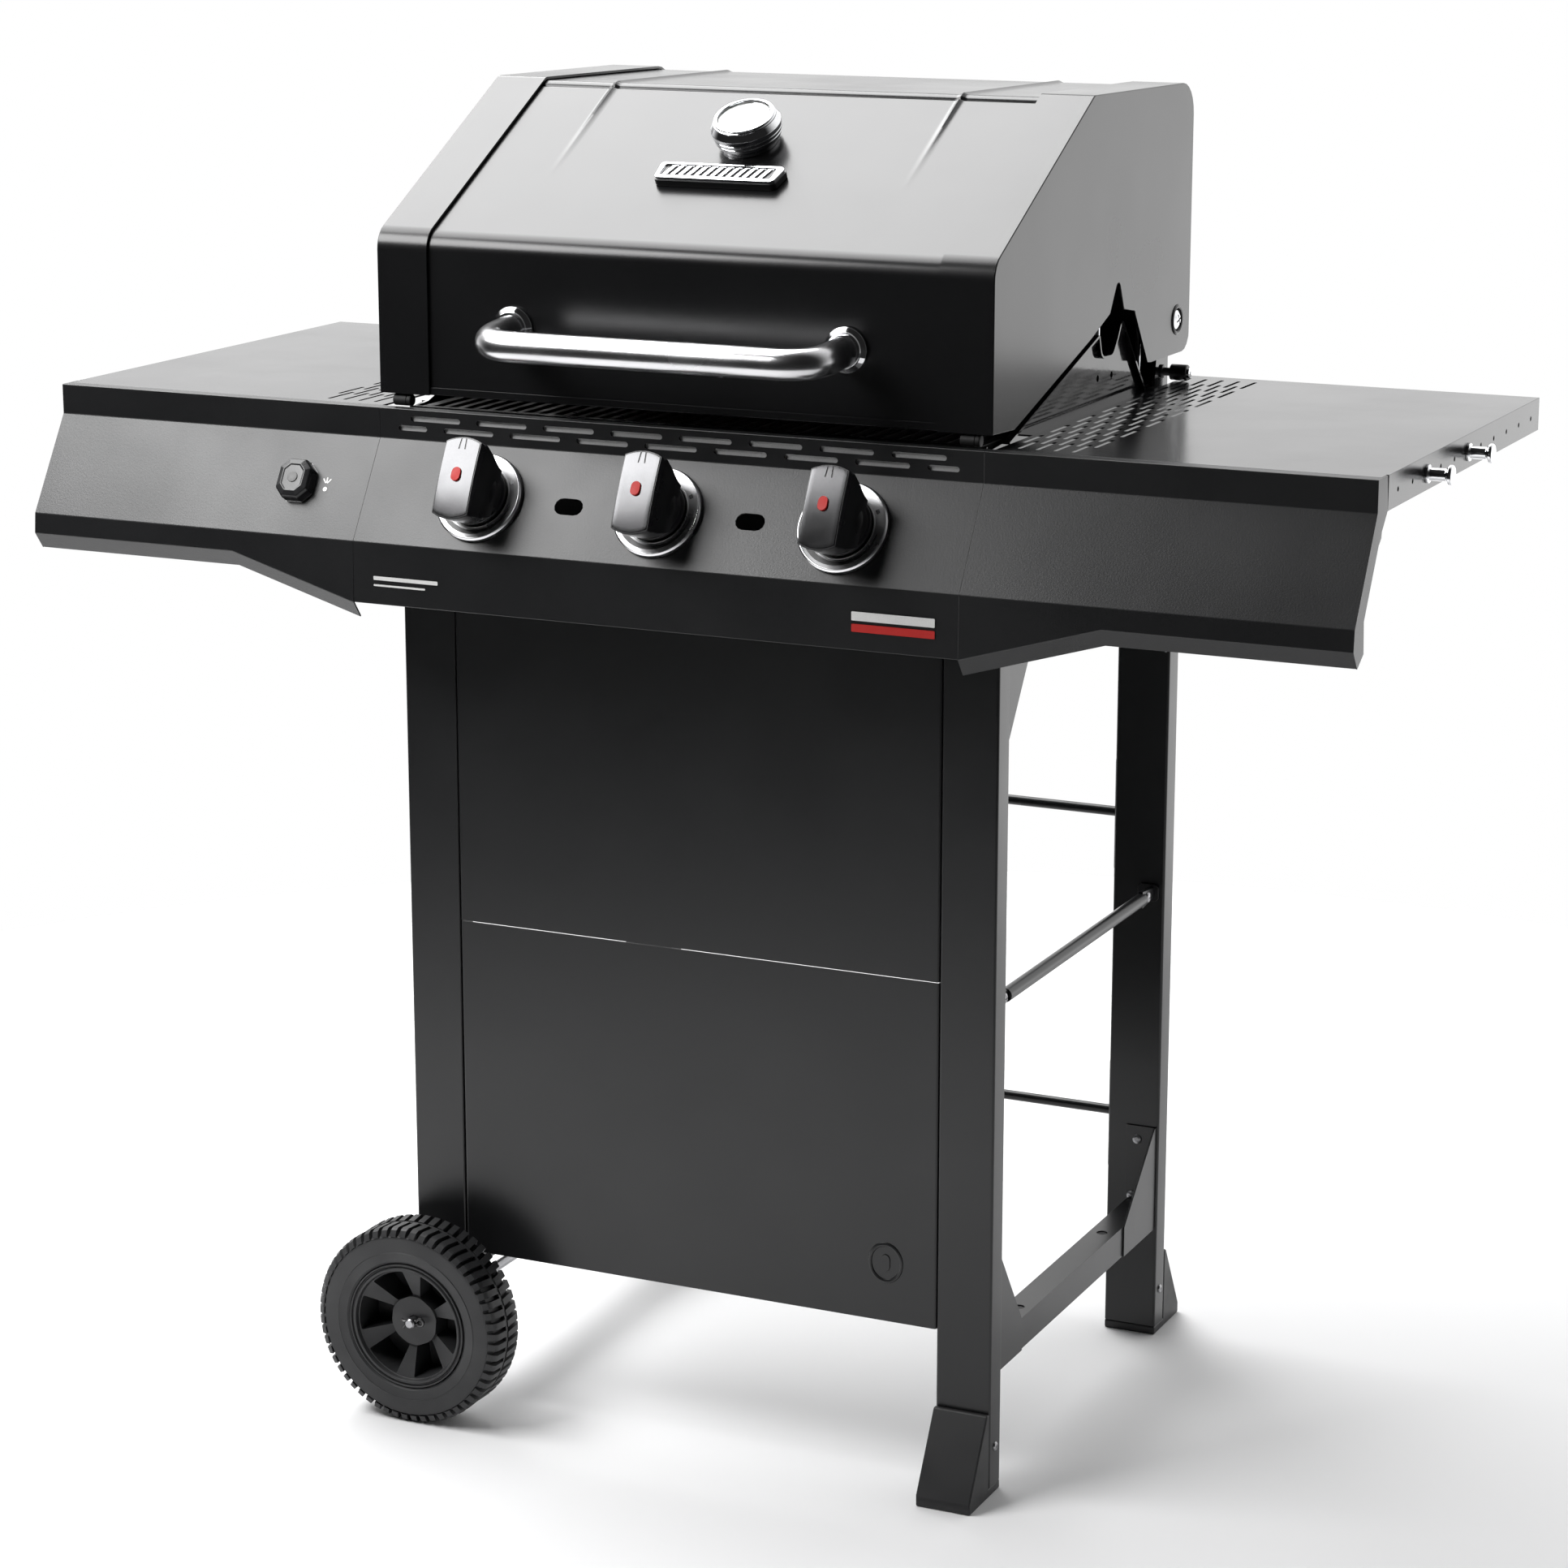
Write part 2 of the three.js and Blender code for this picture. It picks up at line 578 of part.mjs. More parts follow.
function fireboxPieces() {
  add('firebox_tub', fireboxTub(), porcelain);
  sides.forEach((side) => {
    add(`firebox_end_${sideName(side)}`, fireboxEnd(side), porcelain);
    add(`grate_${sideName(side)}`, cookingGrate(side), castIron);
    const from = [side * (firebox.half + gap + firebox.endThick + gap), stop.y, stop.z];
    add(`lid_stop_${sideName(side)}`, rod(from, [side * stop.end, stop.y, stop.z], stop.radius, 16), plastic);
  });
  [-1, 0, 1].forEach((index) => add(`burner_${index + 2}`, burnerTube(index), bareSteel));
  add('emitter_plate', emitterPlate(), bareSteel);
  add('gas_manifold', gasManifold(), brass);
  add('warming_rack', warmingRack(), chrome);
  add('grease_tray', greaseTray(), bareSteel);
}

// ---------------------------------------------------------------- control panel, fascias, shelves

function faceLine(lowEdge) {
  return [
    [panel.topReturn, face.stripTop], [0, face.stripTop], [0, face.crease],
    [-face.run, face.crease - face.drop], ...lowEdge,
  ];
}

function controlPanel() {
  const line = faceLine([[-face.footRun, face.foot], [panel.bottomReturn - face.footRun, face.foot]]);
  const shell = alongX(bentSheet(line, -panel.sheet), -panel.half, panel.half);
  const stemHoles = [-1, 0, 1].map((index) => {
    const x = index * knob.spacing;
    return onFace(rod([x, -knob.down, -8], [x, -knob.down, 8], stem.hole, 20));
  });
  const viewHoles = sides.map((side) => {
    const slot = alongZ(obround(viewHole.length, viewHole.height), -6, 6);
    return onFace(slot.translate(side * viewHole.offset, -viewHole.down, 0));
  });
  return cut(shell, ...stemHoles, ...viewHoles);
}

// Side fascia: the panel's section, its lower edge rising to a knee and then level.
function fasciaShell(side) {
  const drop = fascia.lowEdge - face.foot;
  const section = (sink) => bentSheet(faceLine([
    [-face.footRun - 0.3, fascia.lowEdge - sink],
    [-face.footRun + fascia.lipRun, fascia.lowEdge - fascia.lipDrop - sink],
  ]), -panel.sheet);
  const stations = [
    { x: side * (panel.half + gap), points: section(drop) },
    { x: side * fascia.knee, points: section(0) },
    { x: side * fascia.end, points: section(0) },
  ];
  if (side < 0) {
    stations.reverse();
  }
  return lofted(stations);
}

function fasciaEnd(side) {
  const edge = [
    [0, face.stripTop], [0, face.crease], [-face.run, face.crease - face.drop],
    [-face.footRun - 0.3, fascia.lowEdge], [-face.footRun + fascia.lipRun, fascia.lowEdge - fascia.lipDrop],
  ];
  const back = [
    [-24, 763], [-26, 788], [8.7, 846], [fascia.endDepth + 3, 864], [fascia.endDepth, face.stripTop],
  ];
  return alongX([...edge, ...back], side * (fascia.end - panel.sheet), side * fascia.end);
}

function fascias() {
  sides.forEach((side) => {
    const shell = join(fasciaShell(side), fasciaEnd(side));
    const pocket = alongZ(clipped(ignition.width + 0.8, ignition.height + 0.8, ignition.corner), -6, 6);
    onFace(pocket.translate(ignition.x, -ignition.down, 0));
    add(`fascia_${sideName(side)}`, side < 0 ? cut(shell, pocket) : shell, wrinkleBlack);
  });
}

function shelves() {
  const { inner, front, rear, top, skirt, sheet } = shelf;
  sides.forEach((side) => {
    const outer = box(side * inner, side * fascia.end, front, rear, top - skirt, top);
    const hollow = box(
      side * (inner - 1), side * (fascia.end - sheet), front + sheet, rear - sheet, top - skirt - 1, top - sheet,
    );
    const corner = box(
      side * (fascia.end - panel.sheet - gap), side * (fascia.end + 1),
      front - 1, fascia.endDepth + 3 + gap, top - skirt - 1, top + 1,
    );
    add(`side_shelf_${sideName(side)}`, cut(outer, hollow, corner), satinBlack);
  });
}

// Mushroom-headed posts on the right shelf's skirt.
function toolHooks() {
  const profile = [[0, 0], [hook.post, 0], [hook.post, hook.length - 5], [hook.head, hook.length - 4],
    [hook.head, hook.length - 1], [hook.head - 1.5, hook.length], [0, hook.length]];
  hook.rows.forEach((y, index) => {
    const post = turned(profile, 16).rotateY(Math.PI / 2);
    add(`tool_hook_${index + 1}`, post.translate(fascia.end + gap, y, hook.z), chrome);
  });
}

// ---------------------------------------------------------------- controls

function bezelRing() {
  const { outer, inner, height } = bezel;
  const profile = [
    [inner, gap], [outer, gap], [outer, height - 2], [outer - 1.5, height],
    [outer - 4.5, height], [outer - 6, bezel.foot], [inner, bezel.foot], [inner, gap],
  ];
  return turned(profile, 24);
}

// Round skirt with a tapering grip bar, off position with the bar up the face.
function knobCap() {
  const k = knob;
  const skirt = turned([
    [0, k.clearance], [k.skirtRadius, k.clearance], [k.skirtRadius - 2.5, k.clearance + k.skirtHeight],
    [0, k.clearance + k.skirtHeight],
  ], 28);
  const w = k.grip / 2;
  const l = k.gripLength / 2;
  const bar = new THREE.ExtrudeGeometry(outline(clipped(k.grip, k.gripLength, 5)), {
    depth: k.height - k.clearance - 8, bevelEnabled: false,
  }).translate(0, 0, k.clearance + 8);
  const topCut = alongX([[l + 5, k.height + 1], [l * 0.8, k.height + 1], [l + 1, k.height - 16]], -w - 1, w + 1);
  const endCut = alongX([[-l - 1, k.height - 8], [-l * 0.92, k.height + 1], [-l - 5, k.height + 1]], -w - 1, w + 1);
  const socket = rod([0, 0, 0], [0, 0, stem.outside + k.travel + gap], stem.radius + gap, 12);
  return cut(join(skirt, bar), topCut, endCut, socket);
}

function knobs() {
  [-1, 0, 1].forEach((index) => {
    const number = index + 2;
    const place = (geometry) => onFace(geometry.translate(index * knob.spacing, -knob.down, 0));
    add(`knob_bezel_${number}`, place(bezelRing()), chrome);
    add(`knob_${number}`, place(knobCap()), plastic);
    add(`valve_stem_${number}`, place(rod([0, 0, -stem.inside], [0, 0, stem.outside], stem.radius, 12)), brass);
  });
}

function ignitionButton() {
  const { width, height, proud, inside, corner } = ignition;
  const shape = outline(clipped(width, height, corner));
  const cap = new THREE.ExtrudeGeometry(shape, { depth: proud + inside, bevelEnabled: false });
  add('ignition_button', onFace(cap.translate(ignition.x, -ignition.down, -inside)), plastic);
  const module = rod([0, 0, 0], [0, 0, 34], 13, 16).translate(ignition.x, -ignition.down, -inside - 34 - 5);
  add('ignition_module', onFace(module), plastic);
}

// ---------------------------------------------------------------- lid

function lidLine(bottom, rearBottom) {
  return rounded([
    [lid.front, bottom], [lid.front, lid.bend, lid.bendRadius], [...lid.slopeEnd, lid.creaseRadius],
    [lid.rear, lid.top, lid.rearRadius], [lid.rear, rearBottom],
  ], 6);
}

function lidSkin() {
  const line = beside(lidLine(lid.bottom, lid.exhaust), lid.step);
  const half = lid.half - lid.band + lid.tuck;
  return alongX(bentSheet(line, lid.skin), -half, half);
}

// Lower edge of a lid side, from the heel at the back to the front corner.
function sideEdge() {
  return rounded([
    [lid.rear, lid.exhaust], [lid.rear, lid.rearBottom, lid.heel], [365, 915], [357.5, 915.8], [323, 963.5, 5],
    [296.5, 968, 4], [283, 997, 5], [264, 967.8, 4], [232, 955.9], [52, 900.5], [lid.front + 1, lid.bottom],
  ], 4);
}

function lidEnd(side) {
  const inner = side * (lid.half - lid.band);
  const outer = side * lid.half;
  const over = lidLine(lid.bottom, lid.exhaust);
  const band = alongX(bentSheet(over, lid.bandSheet), inner, outer);
  const plate = alongX([...over, ...sideEdge().slice(1)], outer - side * lid.side, outer);
  const at = (x) => [side * x, hinge.y, hinge.z];
  return cut(join(band, plate), rod(at(lid.half - 8), at(lid.half + 5), hinge.bushHole, 24));
}

function hingePin(side) {
  const at = (x) => [side * x, hinge.y, hinge.z];
  const shaft = rod(at(firebox.half - 6), at(lid.half + 1), hinge.pin, 12);
  const head = rod(at(lid.half - 1.5), at(lid.half + 2.5), hinge.head, 20);
  return join(shaft, head);
}

// Bent tube with a round flange at each end.
function handleBar() {
  const { half, radius, bar, z, base, bend } = handle;
  const skinY = lid.front + lid.step - gap;
  const path = new THREE.CurvePath();
  const corner = (side) => new THREE.Vector3(side * half, bar, z);
  const root = (side) => new THREE.Vector3(side * half, skinY - 1, base);
  const onLeg = (side) => corner(side).lerp(root(side), bend / (skinY - bar));
  const onBar = (side) => new THREE.Vector3(side * (half - bend), bar, z);
  path.add(new THREE.LineCurve3(root(-1), onLeg(-1)));
  path.add(new THREE.QuadraticBezierCurve3(onLeg(-1), corner(-1), onBar(-1)));
  path.add(new THREE.LineCurve3(onBar(-1), onBar(1)));
  path.add(new THREE.QuadraticBezierCurve3(onBar(1), corner(1), onLeg(1)));
  path.add(new THREE.LineCurve3(onLeg(1), root(1)));
  const tube = new THREE.ExtrudeGeometry(circle(radius, 14), { steps: 26, extrudePath: path, bevelEnabled: false });
  const flanges = sides.map(
    (side) => rod([side * half, skinY - 6, base], [side * half, skinY, base], handle.flange, 24),
  );
  return join(tube, ...flanges);
}

// Thermometer case, open at the front over a recessed dial.
function gaugeCase() {
  const { radius, neck, height, glass, dialDepth } = gauge;
  return turned([
    [0, gap], [neck, gap], [neck, 5], [radius - 2, 7], [radius, 14], [radius, 18], [glass + 3, height],
    [glass, height - 1], [glass, height - dialDepth], [0, height - dialDepth],
  ], 28);
}

function gaugeNeedle() {
  const floor = gauge.height - gauge.dialDepth + 1.2;
  const hub = rod([0, 0, floor], [0, 0, floor + 2.4], 3, 12);
  const pointer = box(-6, gauge.needle, -1, 1, floor + 0.8, floor + 2);
  return join(hub, pointer.rotateZ(THREE.MathUtils.degToRad(gauge.rest)));
}

function lidPieces() {
  add('lid_skin', lidSkin(), satinBlack);
  sides.forEach((side) => {
    add(`lid_end_${sideName(side)}`, lidEnd(side), wrinkleBlack);
    add(`hinge_pin_${sideName(side)}`, hingePin(side), chrome);
  });
  add('lid_handle', handleBar(), brushedSteel);
  add('gauge_case', onLidSlope(gaugeCase().translate(0, gauge.up, 0)), chrome);
  add('gauge_needle', onLidSlope(gaugeNeedle().translate(0, gauge.up, 0)), needleRed);
}

// ---------------------------------------------------------------- whole grill

legs();
feet();
frontPanels();
sideFrames();
tankBarPiece();
rearBraces();
wheels();
fireboxPieces();
add('control_panel', controlPanel(), wrinkleBlack);
fascias();
shelves();
toolHooks();
knobs();
ignitionButton();
lidPieces();

// The origin is the middle of the footprint, on the ground.
const whole = new THREE.Box3().setFromObject(grill, true);
grill.position.set(-(whole.min.x + whole.max.x) / 2, -(whole.min.y + whole.max.y) / 2, -whole.min.z);

export default grill;
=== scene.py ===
import json
import math

import bmesh
import bpy
from mathutils import Matrix, Vector

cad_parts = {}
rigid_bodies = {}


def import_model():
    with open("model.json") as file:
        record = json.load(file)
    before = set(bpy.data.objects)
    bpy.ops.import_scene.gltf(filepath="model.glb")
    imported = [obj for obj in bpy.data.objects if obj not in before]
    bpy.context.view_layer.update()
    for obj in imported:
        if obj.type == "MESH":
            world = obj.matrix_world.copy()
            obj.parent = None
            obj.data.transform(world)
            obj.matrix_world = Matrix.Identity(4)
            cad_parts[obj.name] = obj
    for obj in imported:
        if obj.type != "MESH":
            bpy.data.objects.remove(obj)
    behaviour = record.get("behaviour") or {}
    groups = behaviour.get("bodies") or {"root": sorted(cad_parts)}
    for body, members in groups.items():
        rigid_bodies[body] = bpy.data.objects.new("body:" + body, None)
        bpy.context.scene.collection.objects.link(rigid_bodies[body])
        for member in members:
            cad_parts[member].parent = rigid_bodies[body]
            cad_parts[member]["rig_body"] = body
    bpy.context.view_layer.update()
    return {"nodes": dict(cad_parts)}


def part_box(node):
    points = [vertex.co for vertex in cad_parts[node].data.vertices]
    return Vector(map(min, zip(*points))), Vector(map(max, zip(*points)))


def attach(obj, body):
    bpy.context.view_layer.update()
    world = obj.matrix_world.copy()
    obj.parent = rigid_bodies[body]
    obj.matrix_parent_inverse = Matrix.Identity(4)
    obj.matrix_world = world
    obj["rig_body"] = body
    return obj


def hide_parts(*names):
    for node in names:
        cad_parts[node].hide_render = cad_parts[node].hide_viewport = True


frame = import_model()
nodes = frame["nodes"]
mm = 0.001
inMm, toMm = Matrix.Scale(mm, 4), Matrix.Scale(1000, 4)
quarter = math.pi / 2

# The datum is the front plane of the control panel's vent strip, at mid width, on the ground.
panelLow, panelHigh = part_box("control_panel")
stripTopReturn = 12 * mm
datum = Vector(((panelLow.x + panelHigh.x) / 2, panelHigh.y - stripTopReturn, 0))


def at(x, y, z):
    # a point in millimetres from the datum, as metres in the frame
    return datum + Vector((x, y, z)) * mm


def fromDatum(point):
    return (point - datum) / mm


def moved(x, y, z):
    return Matrix.Translation((x, y, z))


def turned(angle, axis="Z"):
    return Matrix.Rotation(angle, 4, axis)


def place(origin=(0, 0, 0), turnX=0, turnY=0):
    # takes millimetres drawn at the origin to a turned place in the frame
    return Matrix.Translation(at(*origin)) @ turned(turnY, "Y") @ turned(turnX, "X") @ inMm


def addNode(tree, kind, inputs, **settings):
    # a node with its own settings; each input is a value or the output that feeds it
    node = tree.nodes.new(kind)
    for setting, value in settings.items():
        setattr(node, setting, value)
    for label, value in inputs.items():
        if isinstance(value, bpy.types.NodeSocket):
            tree.links.new(value, node.inputs[label])
        elif value is not None:
            node.inputs[label].default_value = value
    return node


def mathNode(tree, operation, first, second=None):
    return addNode(tree, "ShaderNodeMath", {0: first, 1: second}, operation=operation).outputs[0]


def rangeNode(tree, value, limits, kind="LINEAR"):
    # limits: the value's low and high, and what they become
    inputs = dict(zip(("Value", "From Min", "From Max", "To Min", "To Max"), (value, *limits)))
    return addNode(tree, "ShaderNodeMapRange", inputs, interpolation_type=kind).outputs[0]


# ---- camera, floor and light

cameraView = {"target": (50, 107, 577), "distance": 3400, "turn": 25.05, "lift": 13.89, "lens": 92.59}
studio = {
    "floorRadius": 1.75, "floorColor": (0.88, 0.88, 0.885, 1), "floorRough": 0.9,
    "room": (-0.25, 0.65, 0.03, 2.3), "sky": (-0.1, 0.15, 1, 0.68), "lightsAimAt": (0, 200, 800),
    "topPanel": {"spot": (-1450, 750, 3300), "size": (3.0, 2.4), "power": 158},
    "frontPanel": {"spot": (-1150, -800, 1950), "size": (1.3, 0.7), "power": 36},
}


def inScene(name, content):
    made = bpy.data.objects.new(name, content)
    bpy.context.scene.collection.objects.link(made)
    return made


def makeCamera():
    view = cameraView
    turn, lift = math.radians(view["turn"]), math.radians(view["lift"])
    forward = Vector((-math.sin(turn) * math.cos(lift), math.cos(turn) * math.cos(lift), -math.sin(lift)))
    camera = inScene("camera", bpy.data.cameras.new("camera"))
    camera.data.lens = view["lens"]
    camera.data.sensor_width = 36
    camera.data.clip_end = 60
    camera.location = at(*view["target"]) - forward * view["distance"] * mm
    camera.rotation_euler = forward.to_track_quat("-Z", "Y").to_euler()
    bpy.context.scene.camera = camera
    bpy.context.scene.view_settings.view_transform = "Standard"


def addPanelLight(name):
    lamp = bpy.data.lights.new(name, "AREA")
    lamp.shape = "RECTANGLE"
    lamp.size, lamp.size_y = studio[name]["size"]
    lamp.energy = studio[name]["power"]
    light = inScene(name, lamp)
    light.location = at(*studio[name]["spot"])
    light.rotation_euler = (at(*studio["lightsAimAt"]) - light.location).to_track_quat("-Z", "Y").to_euler()
    light.visible_camera = False


def makeWorld():
    # the room is bright behind and dark in front of the grill; straight views of it are plain white
    world = bpy.data.worlds.new("studioRoom")
    bpy.context.scene.world = world
    world.use_nodes = True
    tree = world.node_tree
    tree.nodes.clear()
    way = addNode(tree, "ShaderNodeSeparateXYZ", {0: tree.nodes.new("ShaderNodeTexCoord").outputs["Generated"]})
    room = rangeNode(tree, way.outputs["Y"], studio["room"], "SMOOTHSTEP")
    sky = rangeNode(tree, way.outputs["Z"], studio["sky"])
    walls = addNode(tree, "ShaderNodeBackground", {"Strength": mathNode(tree, "MULTIPLY", room, sky)})
    plain = addNode(tree, "ShaderNodeBackground", {"Color": (1, 1, 1, 1)})
    straight = tree.nodes.new("ShaderNodeLightPath").outputs["Is Camera Ray"]
    mix = addNode(tree, "ShaderNodeMixShader", {0: straight, 1: walls.outputs[0], 2: plain.outputs[0]})
    addNode(tree, "ShaderNodeOutputWorld", {0: mix.outputs[0]})


def makeFloor():
    # a round sheet of pale paper, as far as the light falls
    build = bmesh.new()
    bmesh.ops.create_circle(build, cap_ends=True, segments=96, radius=studio["floorRadius"])
    mesh = bpy.data.meshes.new("floor")
    build.to_mesh(mesh)
    build.free()
    paper = bpy.data.materials.new("floorPaper")
    paper.use_nodes = True
    shader = paper.node_tree.nodes["Principled BSDF"]
    shader.inputs["Base Color"].default_value = studio["floorColor"]
    shader.inputs["Roughness"].default_value = studio["floorRough"]
    mesh.materials.append(paper)
    inScene("floor", mesh)


makeCamera()
makeWorld()
makeFloor()
addPanelLight("topPanel")
addPanelLight("frontPanel")
print("stage ready")

# ---- finishes

# colour, roughness and its spread, metal, then the size and depth in mm of the fine grain and of the slow swell
finishes = {
    "satinBlack": ((0.0088, 0.009, 0.0098), 0.31, 0.02, 0, (0.55, 0.01), (45, 0.05)),
    "shelfBlack": ((0.0088, 0.009, 0.0098), 0.19, 0.02, 0, (0.55, 0.008), (60, 0.05)),
    "knobSilver": ((0.08, 0.08, 0.082), 0.2, 0.03, 1, (0.4, 0.003), (14, 0.006)),
    "bezelSilver": ((0.74, 0.74, 0.75), 0.3, 0.04, 1, (0.4, 0.003), (14, 0.006)),
    "wrinkleBlack": ((0.0088, 0.009, 0.0098), 0.37, 0.03, 0, (1.5, 0.075), (60, 0.04)),
    "lidBlack": ((0.0062, 0.0063, 0.0068), 0.25, 0.025, 0, (1.1, 0.016), (70, 0.09)),
    "enamelBlack": ((0.006, 0.006, 0.0068), 0.09, 0.05, 0, (3.2, 0.022), (30, 0.06)),
    "chrome": ((0.78, 0.785, 0.8), 0.07, 0.05, 1, (0.8, 0.002), (14, 0.004)),
    "brushedSteel": ((0.6, 0.6, 0.61), 0.24, 0.07, 1, (0.45, 0.006), (60, 0.02)),
    "plainSteel": ((0.36, 0.36, 0.37), 0.36, 0.14, 1, (0.7, 0.012), (25, 0.03)),
    "darkSteel": ((0.1, 0.1, 0.1), 0.4, 0.1, 1, (0.7, 0.012), (12, 0.02)),
    "zincSteel": ((0.44, 0.45, 0.46), 0.4, 0.16, 1, (5, 0.01), (60, 0.08)),
    "castIron": ((0.012, 0.012, 0.0125), 0.42, 0.16, 0, (0.9, 0.06), (8, 0.08)),
    # painted light: a light grey for the sheet set just behind the vent slots, so that the slots read light as the
    # reflections seen through them do
    "baffleSteel": ((0.66, 0.66, 0.66), 0.55, 0.08, 0.6, (0.7, 0.012), (25, 0.03)),
    "brass": ((0.56, 0.39, 0.15), 0.28, 0.12, 1, (0.6, 0.006), (12, 0.02)),
    "mouldedBlack": ((0.0105, 0.0105, 0.0115), 0.3, 0.07, 0, (0.45, 0.012), (18, 0.02)),
    "footBlack": ((0.015, 0.015, 0.016), 0.5, 0.08, 0, (0.7, 0.03), (25, 0.05)),
    "tyreBlack": ((0.024, 0.0242, 0.0255), 0.52, 0.1, 0, (0.8, 0.05), (20, 0.08)),
    "rubberBlack": ((0.009, 0.009, 0.0095), 0.65, 0.08, 0, (0.5, 0.03), (6, 0.03)),
    "dialWhite": ((0.4, 0.4, 0.39), 0.45, 0.05, 0, (0.5, 0.003), (10, 0.01)),
    "inkBlack": ((0.012, 0.012, 0.012), 0.4, 0.08, 0, (0.4, 0.004), (5, 0.01)),
    "inkWhite": ((0.78, 0.78, 0.77), 0.45, 0.08, 0, (0.4, 0.004), (5, 0.01)),
    "inkRed": ((0.5, 0.012, 0.008), 0.62, 0.08, 0, (0.4, 0.004), (5, 0.01)),
}
grainStretch = {"brushedSteel": (0.03, 1, 1)}
shading = {"noise": (0.3, 0.7), "darker": 0.8, "lighter": 1.2, "blotch": 1.7, "smoothest": 0.02}
glass = {"bend": 1.45, "smear": 9, "rough": (0.0, 0.06)}
madeFinishes = {}


def noiseNode(tree, source, size, detail):
    inputs = {"Scale": 1 / (size * mm), "Detail": detail, "Vector": source}
    return addNode(tree, "ShaderNodeTexNoise", inputs).outputs[0]


def bumpNode(tree, height, depth, under=None):
    inputs = {"Strength": 1, "Distance": depth * mm, "Height": height, "Normal": under}
    return addNode(tree, "ShaderNodeBump", inputs).outputs["Normal"]


def shadeNode(tree, value, color):
    # the colour, a little darker and lighter with the noise
    dark, light = ((*[part * shading[shade] for part in color], 1) for shade in ("darker", "lighter"))
    return addNode(tree, "ShaderNodeMix", {0: value, 6: dark, 7: light}, data_type="RGBA").outputs[2]


def newMaterial(name):
    material = bpy.data.materials.new(name)
    material.use_nodes = True
    tree = material.node_tree
    madeFinishes[name] = material
    return tree, tree.nodes["Principled BSDF"], tree.nodes.new("ShaderNodeTexCoord").outputs["Object"]


def finish(name):
    if name in madeFinishes:
        return madeFinishes[name]
    color, rough, spread, metal, grain, swell = finishes[name]
    tree, shader, source = newMaterial(name)
    grainSource = source
    if name in grainStretch:
        grainSource = addNode(tree, "ShaderNodeMapping", {"Scale": grainStretch[name], "Vector": source}).outputs[0]
    fine = noiseNode(tree, grainSource, grain[0], 3)
    slow = noiseNode(tree, source, swell[0], 2)
    blotch = noiseNode(tree, source, swell[0] * shading["blotch"], 5)
    limits = (*shading["noise"], max(rough - spread, shading["smoothest"]), rough + spread)
    tree.links.new(rangeNode(tree, blotch, limits), shader.inputs["Roughness"])
    tree.links.new(shadeNode(tree, fine, color), shader.inputs["Base Color"])
    normal = bumpNode(tree, fine, grain[1], bumpNode(tree, slow, swell[1]))
    tree.links.new(normal, shader.inputs["Normal"])
    shader.inputs["Metallic"].default_value = metal
    return madeFinishes[name]


def makeGlass(name):
    tree, shader, source = newMaterial(name)
    shader.inputs["Base Color"].default_value = (1, 1, 1, 1)
    shader.inputs["Transmission Weight"].default_value = 1
    shader.inputs["IOR"].default_value = glass["bend"]
    smear = noiseNode(tree, source, glass["smear"], 4)
    tree.links.new(rangeNode(tree, smear, (*shading["noise"], *glass["rough"])), shader.inputs["Roughness"])


makeGlass("gaugeGlass")

# ---- mesh helpers: looks are finish names, and sizes are millimetres

def smoothByAngle(mesh, degrees):
    mesh.shade_smooth()
    mesh.set_sharp_from_angle(angle=math.radians(degrees))


def fromBmesh(name, build, look, smooth=32):
    mesh = bpy.data.meshes.new(name)
    build.to_mesh(mesh)
    build.free()
    mesh.materials.append(finish(look))
    smoothByAngle(mesh, smooth)
    return inScene(name, mesh)


def baked(piece, smooth=None):
    # the piece's modifiers, made into its mesh
    graph = bpy.context.evaluated_depsgraph_get()
    mesh = bpy.data.meshes.new_from_object(piece.evaluated_get(graph))
    piece.modifiers.clear()
    piece.data = mesh
    if smooth:
        smoothByAngle(mesh, smooth)
    return piece


def modified(piece, kind, smooth=None, **settings):
    change = piece.modifiers.new("change", kind)
    for setting, value in settings.items():
        setattr(change, setting, value)
    return baked(piece, smooth)


def softened(piece, width, segments=2, angle=40, smooth=32):
    return modified(piece, "BEVEL", smooth, width=width * mm, segments=segments, limit_method="ANGLE",
                    angle_limit=math.radians(angle), use_clamp_overlap=True, harden_normals=False)


def pierced(piece, cutter, smooth=32):
    modified(piece, "BOOLEAN", smooth, operation="DIFFERENCE", solver="EXACT", object=cutter)
    bpy.data.objects.remove(cutter)
    return piece


def joined(name, *pieces):
    # several meshes as one, each with its own material kept
    materials = []
    build = bmesh.new()
    for piece in pieces:
        start = len(build.faces)
        build.from_mesh(piece.data)
        build.faces.ensure_lookup_table()
        for face in build.faces[start:]:
            material = piece.data.materials[face.material_index]
            if material not in materials:
                materials.append(material)
            face.material_index = materials.index(material)
        bpy.data.objects.remove(piece)
    mesh = bpy.data.meshes.new(name)
    build.to_mesh(mesh)
    build.free()
    for material in materials:
        mesh.materials.append(material)
    return inScene(name, mesh)


def copyOf(node, name, look):
    # a CAD node's shape with its loose triangles merged into clean faces
    build = bmesh.new()
    build.from_mesh(nodes[node].data)
    bmesh.ops.remove_doubles(build, verts=build.verts, dist=0.02 * mm)
    bmesh.ops.dissolve_limit(build, angle_limit=math.radians(1), verts=build.verts, edges=build.edges)
    return fromBmesh(name, build, look)


def shown(piece, body, slot, *replaced):
    # flat faces shade flat, and the bends between them carry the turn
    modified(piece, "WEIGHTED_NORMAL", keep_sharp=True)
    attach(piece, body)
    if replaced:
        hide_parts(*replaced)
    return piece


def spoke(radius, angle):
    return radius * math.cos(angle), radius * math.sin(angle)


